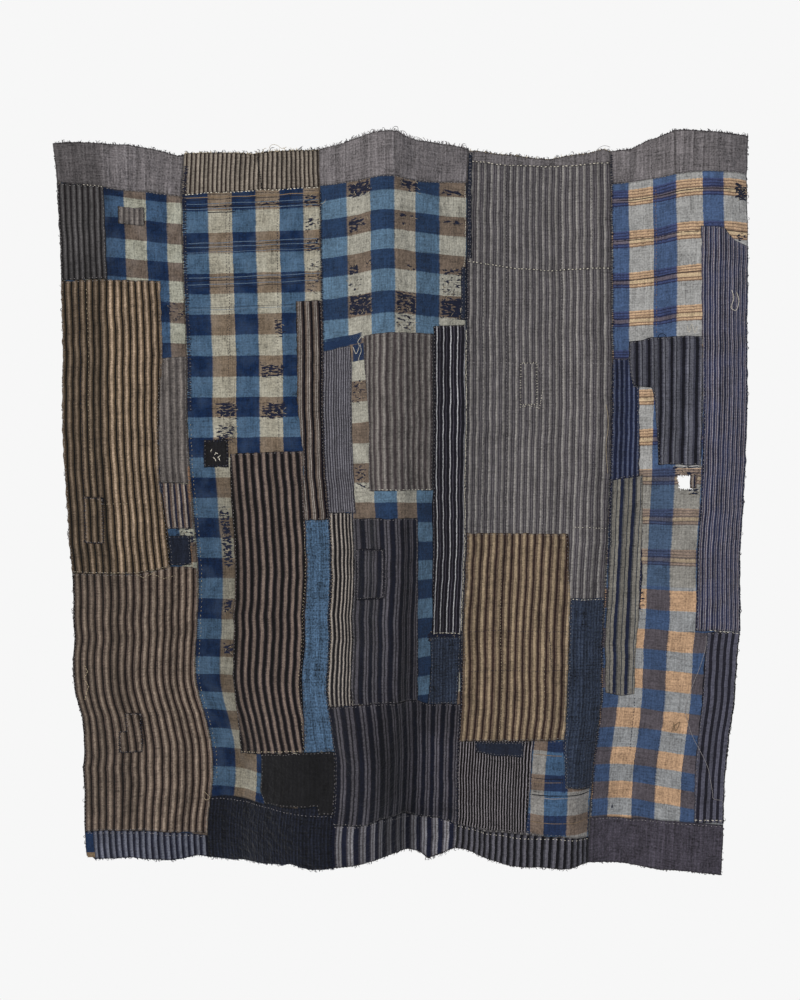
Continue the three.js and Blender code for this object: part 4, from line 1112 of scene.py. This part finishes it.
# Odd weft lines
# Here and there the weaver ran out of one yarn and threw a few picks of another right across the width.
WEFT_LINES = (  # thread, panel, across from, across to, down at the left, down at the right, half width
    ("black", 2, 0, 330, 100, 98, 0.8),
    ("tan", 2, 0, 330, 106, 104, 1.4),
    ("black", 2, 0, 330, 111, 109, 0.9),
    ("haze", 2, 0, 330, 121, 119, 0.8),
    ("black", 2, 0, 330, 128, 126, 1.3),
    ("haze", 2, 0, 330, 133, 131, 0.9),
    ("black", 2, 60, 128, 141, 140, 1.5),
    ("haze", 2, 0, 330, 214, 210, 0.9),
    ("black", 2, 0, 330, 219, 215, 0.9),
    ("haze", 2, 0, 330, 224, 220, 0.8),
    ("black", 2, 0, 330, 229, 225, 0.7),
    ("haze", 2, 0, 330, 236, 232, 0.6),
    ("haze", 2, 0, 330, 296, 291, 0.9),
    ("black", 2, 0, 330, 303, 298, 1.2),
    ("haze", 2, 0, 330, 312, 307, 0.8),
    ("black", 2, 0, 330, 319, 313, 0.8),
    ("black", 2, 0, 266, 367, 362, 0.6),
    ("haze", 2, 0, 266, 372, 367, 0.6),
    ("black", 5, 0, 305, 128, 126, 1.4),
    ("black", 5, 0, 305, 222, 219, 1.1),
    ("black", 5, 0, 200, 314, 310, 1.0),
    ("tan", 4, 193, 258, 1397, 1395, 1.0),
    ("black", 4, 193, 264, 1448, 1446, 1.0),
    ("tan", 4, 193, 266, 1456, 1454, 0.8),
    ("black", 4, 193, 342, 1484, 1480, 1.4),
    ("grey", 4, 192, 342, 1490, 1486, 0.9),
    ("tan", 4, 192, 342, 1543, 1541, 0.9),
)
for thread, panel, a0, a1, d0, d1, thickness in WEFT_LINES:
    at = np.linspace(0, 1, 50)
    a = a0 + (a1 - a0) * at
    d = d0 + (d1 - d0) * at + sway(a, d0, 0.25, 60, int(d0))
    height = PATCH_TOP if panel == 4 else GROUND_TOP
    paths = hang(panel, a, d, height)[None]
    out = hang(panel, a, d, height + 1)[None] - paths
    sewn.setdefault(thread, []).append(tubes(paths, out, thickness, flatten=0.15))


# Darns
# Some holes and corners are filled with close rows of thick thread, laid side by side across the gap.
DARNS = (  # thread, panel, across from, across to, down from, down to at the left, rise to the right
    ("blue", 1, 1, 20, 1594, 1640, 0),
    ("tan", 1, 1, 20, 1640, 1652, 0),
    ("blue", 3, 3, 112, 448, 471, 9),
    ("blue", 3, 82, 120, 466, 503, 2),
)
for thread, panel, a0, a1, d0, d1, rise in DARNS:
    rows = np.arange(d0, d1, 2.6)
    start = np.stack([np.full(len(rows), float(a0)), rows], axis=1)
    lay_threads(thread, panel, start, start + (a1 - a0, -rise), 1.6, GROUND_TOP, arch=0.1, rings=14,
                flatten=0.3)


# Worn places
# Over the worn bars lie the threads that are left: broken pale warps and the menders' short stitches.
draw = np.random.default_rng(31)
for panel, a0, a1, d0, d1, _ in WORN:
    count = round((a1 - a0) * (d1 - d0) / 110)
    start = np.stack([draw.uniform(a0, a1, count), draw.uniform(d0, d1, count)], axis=1)
    end = start + draw.normal(0, 4, (count, 2)) + (4, 0)
    half = count // 2
    for thread, thickness, chosen in (("black", 0.8, slice(0, half)), ("cream", 0.55, slice(half, None))):
        if len(start[chosen]):
            lay_threads(thread, panel, start[chosen], end[chosen], thickness, GROUND_TOP + 0.1,
                        arch=0.2, bow=draw.uniform(-0.3, 0.3, len(start[chosen])), flatten=0.4)


# Heading and foot strips
# Short lengths of grey and striped cotton sewn along the head, where the cloth is held, and along the
# foot. Their outer edges are raw, uneven and frayed.
grey_heading = cotton("plain grey cotton", striped(((0, "#625e60"), (0.5, "#6a6668"))), slub=0.5)
brown_heading = cotton("brown, cream and black striped cotton",
                       striped(((0, "#221b18"), (0.35, "#585049"), (0.55, "#80786e"))))
foot_blue_white = cotton("blue and white striped cotton",
                         striped(((0, "#141725"), (0.4, "#3b3e4b"), (0.6, "#626571"))))
foot_indigo = cotton("dark indigo striped cotton", striped(
    ((0, "#0c0f18"), (0.5, "#131722"), (0.75, "#191d2a"))), slub=0.7, crumple=1.0)
foot_grey = cotton("black and grey striped cotton, foot",
                   striped(((0, "#08070e"), (0.4, "#35353c"), (0.6, "#57565e"))))
foot_plain = cotton("plain purple-grey cotton", striped(((0, "#3d3a43"), (0.5, "#423e48"))), slub=0.5,
                    mottle=0.3, crumple=0.9)
foot_navy_white = cotton("navy, grey and white striped cotton", striped(
    ((0, "#0e1224"), (0.36, "#35333a"), (0.5, "#6c6b70"), (0.66, "#4a474a"), (0.78, "#77767b"),
     (0.94, "#2a2b38"))))
FOOT_STRIPES_3 = ((26, 0), (81, 2), (130, 4), (211, 6), (280, 8), (338, 10), (367, 11))

sew("heading_1", 1, 0, grey_heading, PLAIN,
    top=[(0, 0), (63, -1), (112, 2), (163, -4), (213, -3), (243, 0), (272, 7), (285, 4)],
    bottom=HEAD_SEAM_1)
sew("heading_2_left", 2, 0, brown_heading, ((5, 0), (16, 1)),
    top=[(0, 1), (87, -1), (164, 6), (179, 5)], bottom=[(0, 98), (64, 94), (191, 92)])
sew("heading_2_right", 2, 0, brown_heading, ((5, 0), (16, 1)),
    top=[(179, 5), (240, 2), (320, 5), (330, 6)], bottom=[(191, 92), (237, 91), (330, 91)])
sew("heading_3", 3, 0, grey_heading, PLAIN,
    top=[(0, 6), (23, 2), (72, -2), (129, -8), (176, -7), (208, -8), (223, -2), (257, 4), (302, 4),
         (340, 5), (385, 11)],
    bottom=HEAD_SEAM_3)
sew("heading_4", 4, 0, grey_heading, PLAIN,
    top=[(0, 15), (85, 17), (155, 18), (198, 20), (237, 13), (294, 12), (329, 5), (345, 11)],
    bottom=HEAD_SEAM_4)
sew("heading_5_left", 5, 0, grey_heading, PLAIN,
    top=[(0, 11), (43, 10), (84, -5), (141, -11)], bottom=HEAD_SEAM_5[:4])
sew("heading_5_right", 5, 0, grey_heading, PLAIN,
    top=[(141, -11), (189, -4), (224, 1), (305, 2)], bottom=HEAD_SEAM_5[3:])
sew("foot_1", 1, 0, foot_blue_white, ((0, 0), (14, 1)), top=FOOT_SEAM_1,
    bottom=[(0, 1645), (20, 1656), (105, 1650), (196, 1657), (258, 1655), (285, 1661)])
sew("foot_2", 2, 0, foot_indigo, ((0, 0), (8, 1)), top=FOOT_SEAM_2,
    bottom=[(0, 1661), (56, 1663), (169, 1645), (237, 1633), (279, 1641), (330, 1637)])
sew("foot_3_left", 3, 0, foot_navy_white, FOOT_STRIPES_3, top=FOOT_SEAM_3[:8],
    bottom=[(0, 1637), (51, 1636), (125, 1633), (175, 1636), (255, 1651), (287, 1663)])
sew("foot_3_right", 3, 0, foot_navy_white, FOOT_STRIPES_3, top=FOOT_SEAM_3[7:],
    bottom=[(287, 1663), (312, 1684), (350, 1670), (385, 1651)])
sew("foot_4", 4, 0, foot_grey, ((0, 0), (16, 1)), top=FOOT_SEAM_4,
    bottom=[(0, 1651), (29, 1648), (89, 1650), (159, 1649), (219, 1639), (267, 1641), (321, 1638),
            (345, 1640)])
sew("foot_5", 5, 0, foot_plain, PLAIN, top=FOOT_SEAM_5,
    bottom=[(0, 1640), (46, 1645), (105, 1648), (177, 1646), (238, 1635), (305, 1636)])


# Frays and loose threads
# The raw edges of the head and foot strips have come undone into short curled threads, and a few long
# ones hang free over the front of the cloth.
FRAYS = (  # thread, piece, threads, longest, way they point
    ("ash", "heading_1", 170, 6, -1),
    ("grey", "heading_1", 40, 7, -1),
    ("cream", "heading_2_left", 60, 6, -1),
    ("black", "heading_2_left", 110, 7, -1),
    ("cream", "heading_2_right", 40, 9, -1),
    ("black", "heading_2_right", 90, 9, -1),
    ("grey", "heading_3", 90, 9, -1),
    ("ash", "heading_3", 260, 8, -1),
    ("cream", "heading_4", 50, 7, -1),
    ("ash", "heading_4", 220, 7, -1),
    ("ash", "heading_5_left", 90, 6, -1),
    ("ash", "heading_5_right", 110, 6, -1),
    ("indigo", "foot_1", 170, 5, 1),
    ("indigo", "foot_2", 190, 5, 1),
    ("ash", "foot_3_left", 110, 7, 1),
    ("ash", "foot_3_right", 60, 8, 1),
    ("ash", "foot_4", 170, 5, 1),
    ("ash", "foot_5", 120, 4, 1),
)
for thread, piece, count, longest, way in FRAYS:
    panel, *edges = raw_edges[piece]
    line = np.array(edges[0 if way < 0 else 1], float)
    a = draw.uniform(line[0, 0], line[-1, 0], count)
    start = np.stack([a, np.interp(a, line[:, 0], line[:, 1]) - way * 1.5], axis=1)
    length = longest * draw.uniform(0.1, 1, count) ** 3
    end = start + np.stack([draw.normal(0, 0.7, count) * length, way * (length + 1.5)], axis=1)
    lay_threads(thread, panel, start, end, draw.uniform(0.5, 1.0, count), draw.uniform(0, 2), arch=0.8,
                rings=5,
                bow=draw.uniform(-0.6, 0.6, count))
    running_stitch(thread, panel, line, 7, 6, 0.6, radius=1.0)
for panel, a, way in ((1, 0, -1), (5, 305, 1)):
    count = 260
    start = np.stack([np.full(count, a - way * 1.0), draw.uniform(10, 1640, count)], axis=1)
    end = start + np.stack([way * draw.uniform(0.8, 2.5, count), draw.normal(0, 4, count)], axis=1)
    lay_threads("ash", panel, start, end, draw.uniform(0.5, 1.0, count), 1.0, arch=0.6, rings=5,
                bow=draw.uniform(-0.6, 0.6, count))

LOOSE = (  # thread, panel, thickness, places it passes as (across, down, height above the ground cloth)
    ("grey", 5, 0.5, ((233, 1120, 3), (233, 1150, 4), (226, 1185, 5), (202, 1271, 5), (206, 1306, 4),
                      (226, 1345, 5),
                       (245, 1374, 5), (263, 1405, 5), (278, 1458, 5), (282, 1474, 4), (301, 1477, 3))),
    ("cream", 2, 0.5, ((206, 8, 1), (210, -6, 2), (218, -12, 3), (230, -10, 3), (240, -3, 2),
                       (252, -6, 2))),
    ("grey", 3, 0.6, ((205, -6, 1), (222, -10, 2), (232, -2, 2), (240, 4, 2), (256, -3, 2), (276, 5, 1))),
    ("grey", 4, 0.5, ((306, 12, 1), (318, 2, 2), (330, -2, 2), (343, 2, 2))),
    ("cream", 1, 0.6, ((270, 1508, 3), (278, 1516, 5), (284, 1524, 5), (276, 1528, 4), (270, 1520, 3))),
    ("white", 3, 0.5, ((108, 466, 3), (112, 484, 4), (104, 500, 4), (108, 522, 4), (114, 540, 2))),
    ("cream", 4, 0.5, ((330, 600, 2), (336, 640, 3), (332, 700, 3), (338, 760, 2))),
    ("tan", 5, 0.8, ((176, 1340, 2), (184, 1322, 3), (178, 1328, 3), (192, 1316, 3), (186, 1336, 3),
                     (178, 1318, 2))),
    ("white", 5, 0.5, ((168, 430, 2), (172, 446, 3), (178, 428, 3), (184, 448, 3), (190, 432, 2))),
    ("white", 5, 0.6, ((262, 352, 3), (266, 372, 4), (260, 392, 4), (272, 398, 4), (278, 376, 4),
                       (274, 356, 3))),
    ("white", 3, 0.6, ((84, 470, 3), (94, 486, 3), (104, 470, 3), (100, 458, 3), (112, 448, 3))),
    ("indigo", 5, 0.7, ((128, 458, 3), (120, 446, 5), (108, 444, 5), (100, 456, 3))),
)
for thread, panel, thickness, places in LOOSE:
    places = np.array(places, float)
    far = np.arange(len(places), dtype=float)
    run = smooth_curve(far, places, np.linspace(0, far[-1], 12 * len(places)))
    paths = hang(panel, run[:, 0], run[:, 1], run[:, 2])[None]
    out = hang(panel, run[:, 0], run[:, 1], run[:, 2] + 1)[None] - paths
    sewn.setdefault(thread, []).append(tubes(paths, out, thickness, flatten=1.0))

THREAD_COLOURS = {
    "white": "#cfc9bb", "cream": "#a59880", "grey": "#8b8788", "indigo": "#181c2c", "black": "#15161f",
    "orange": "#8c6a50", "blue": "#1a2d4b", "tan": "#76644f", "ash": "#3c383c", "haze": "#5b6d80",
}
for thread, parts in sewn.items():
    starts = np.cumsum([0] + [len(points) for points, _ in parts])
    points = np.concatenate([points for points, _ in parts])
    quads = np.concatenate([faces + start for (_, faces), start in zip(parts, starts)])
    finish = blank(thread + " cotton thread")
    tree = finish.node_tree
    place = add(tree, "ShaderNodeTexCoord").outputs["Object"]
    twist = add(tree, "ShaderNodeTexNoise", {"Vector": place, "Scale": 420.0, "Detail": 2.0})
    tint = ranged(tree, twist.outputs[0], 0.3, 0.7, 0.6, 1.25)
    shade = scaled(tree, dye(THREAD_COLOURS[thread])[:3], tint)
    fibre = add(tree, "ShaderNodeBsdfPrincipled", {"Base Color": shade, "Roughness": 0.9,
                                                   "Specular IOR Level": 0.2})
    add(tree, "ShaderNodeOutputMaterial", {"Surface": fibre.outputs[0]})
    mesh_object("threads_" + thread, points, quads, finish)


# Studio
# A pale seamless floor that curves up into a wall, a large soft light from the left and the front, and a
# camera square to the cloth at the photograph's height and distance.
FLOOR_Z = -2.1
FOCAL_LENGTH = 33
SENSOR_WIDTH = 36
CAMERA_DISTANCE = 2108.33
CAMERA_DOWN = 828
LIGHT_SIZE = 2.4
WALL = (  # radius and height of the floor's profile, in metres
    (0.0, FLOOR_Z), (3.6, FLOOR_Z), (4.4, FLOOR_Z + 0.12), (5.1, FLOOR_Z + 0.55), (5.5, FLOOR_Z + 1.3),
    (5.6, FLOOR_Z + 2.2), (5.6, 4.5),
)


def lathe(profile, around):
    """A profile of (radius, height) turned about the upright line through the middle of the cloth."""
    angles = np.linspace(0, 2 * math.pi, around + 1)
    radius, height = np.array(profile, float).T
    x = radius[:, None] * np.cos(angles)
    y = radius[:, None] * np.sin(angles)
    z = np.broadcast_to(height[:, None], x.shape)
    return np.stack([x, y, z], axis=2)


pale = blank("pale studio paper")
paper = add(pale.node_tree, "ShaderNodeEmission", {"Color": dye("#f7f7f7"), "Strength": 1.0})
add(pale.node_tree, "ShaderNodeOutputMaterial", {"Surface": paper.outputs[0]})
rings = lathe(WALL, 96)
number = np.arange(rings.shape[0] * rings.shape[1]).reshape(rings.shape[:2])
floor_quads = cells_of(number).reshape(-1, 4)
floor = mesh_object("studio_floor", rings.reshape(-1, 3), floor_quads, pale)
for ray in ("diffuse", "glossy", "transmission", "shadow"):
    setattr(floor, "visible_" + ray, False)

world = bpy.data.worlds.new("soft room light")
bpy.context.scene.world = world
world.use_nodes = True
world.node_tree.nodes["Background"].inputs[0].default_value = dye("#f4f6fa")
world.node_tree.nodes["Background"].inputs[1].default_value = 0.68

key = bpy.data.lights.new("key light", "AREA")
key.shape = "RECTANGLE"
key.size = LIGHT_SIZE
key.size_y = LIGHT_SIZE
key.energy = 150
key.color = dye("#fffaf2")[:3]
key_light = bpy.data.objects.new("key light", key)
key_light.location = (-2.4, -4.0, 0.4)
key_light.rotation_euler = (math.radians(76), 0, math.radians(-31))
bpy.context.scene.collection.objects.link(key_light)

lens = bpy.data.cameras.new("camera")
lens.lens = FOCAL_LENGTH
lens.sensor_width = SENSOR_WIDTH
camera = bpy.data.objects.new("camera", lens)
camera.location = (VIEW_ACROSS, (crest + GROUND_THICKNESS / 2 - CAMERA_DISTANCE) * 0.001,
                   -CAMERA_DOWN * 0.001)
camera.rotation_euler = (math.radians(90), 0, 0)
bpy.context.scene.collection.objects.link(camera)
bpy.context.scene.camera = camera
bpy.context.scene.view_settings.view_transform = "Standard"
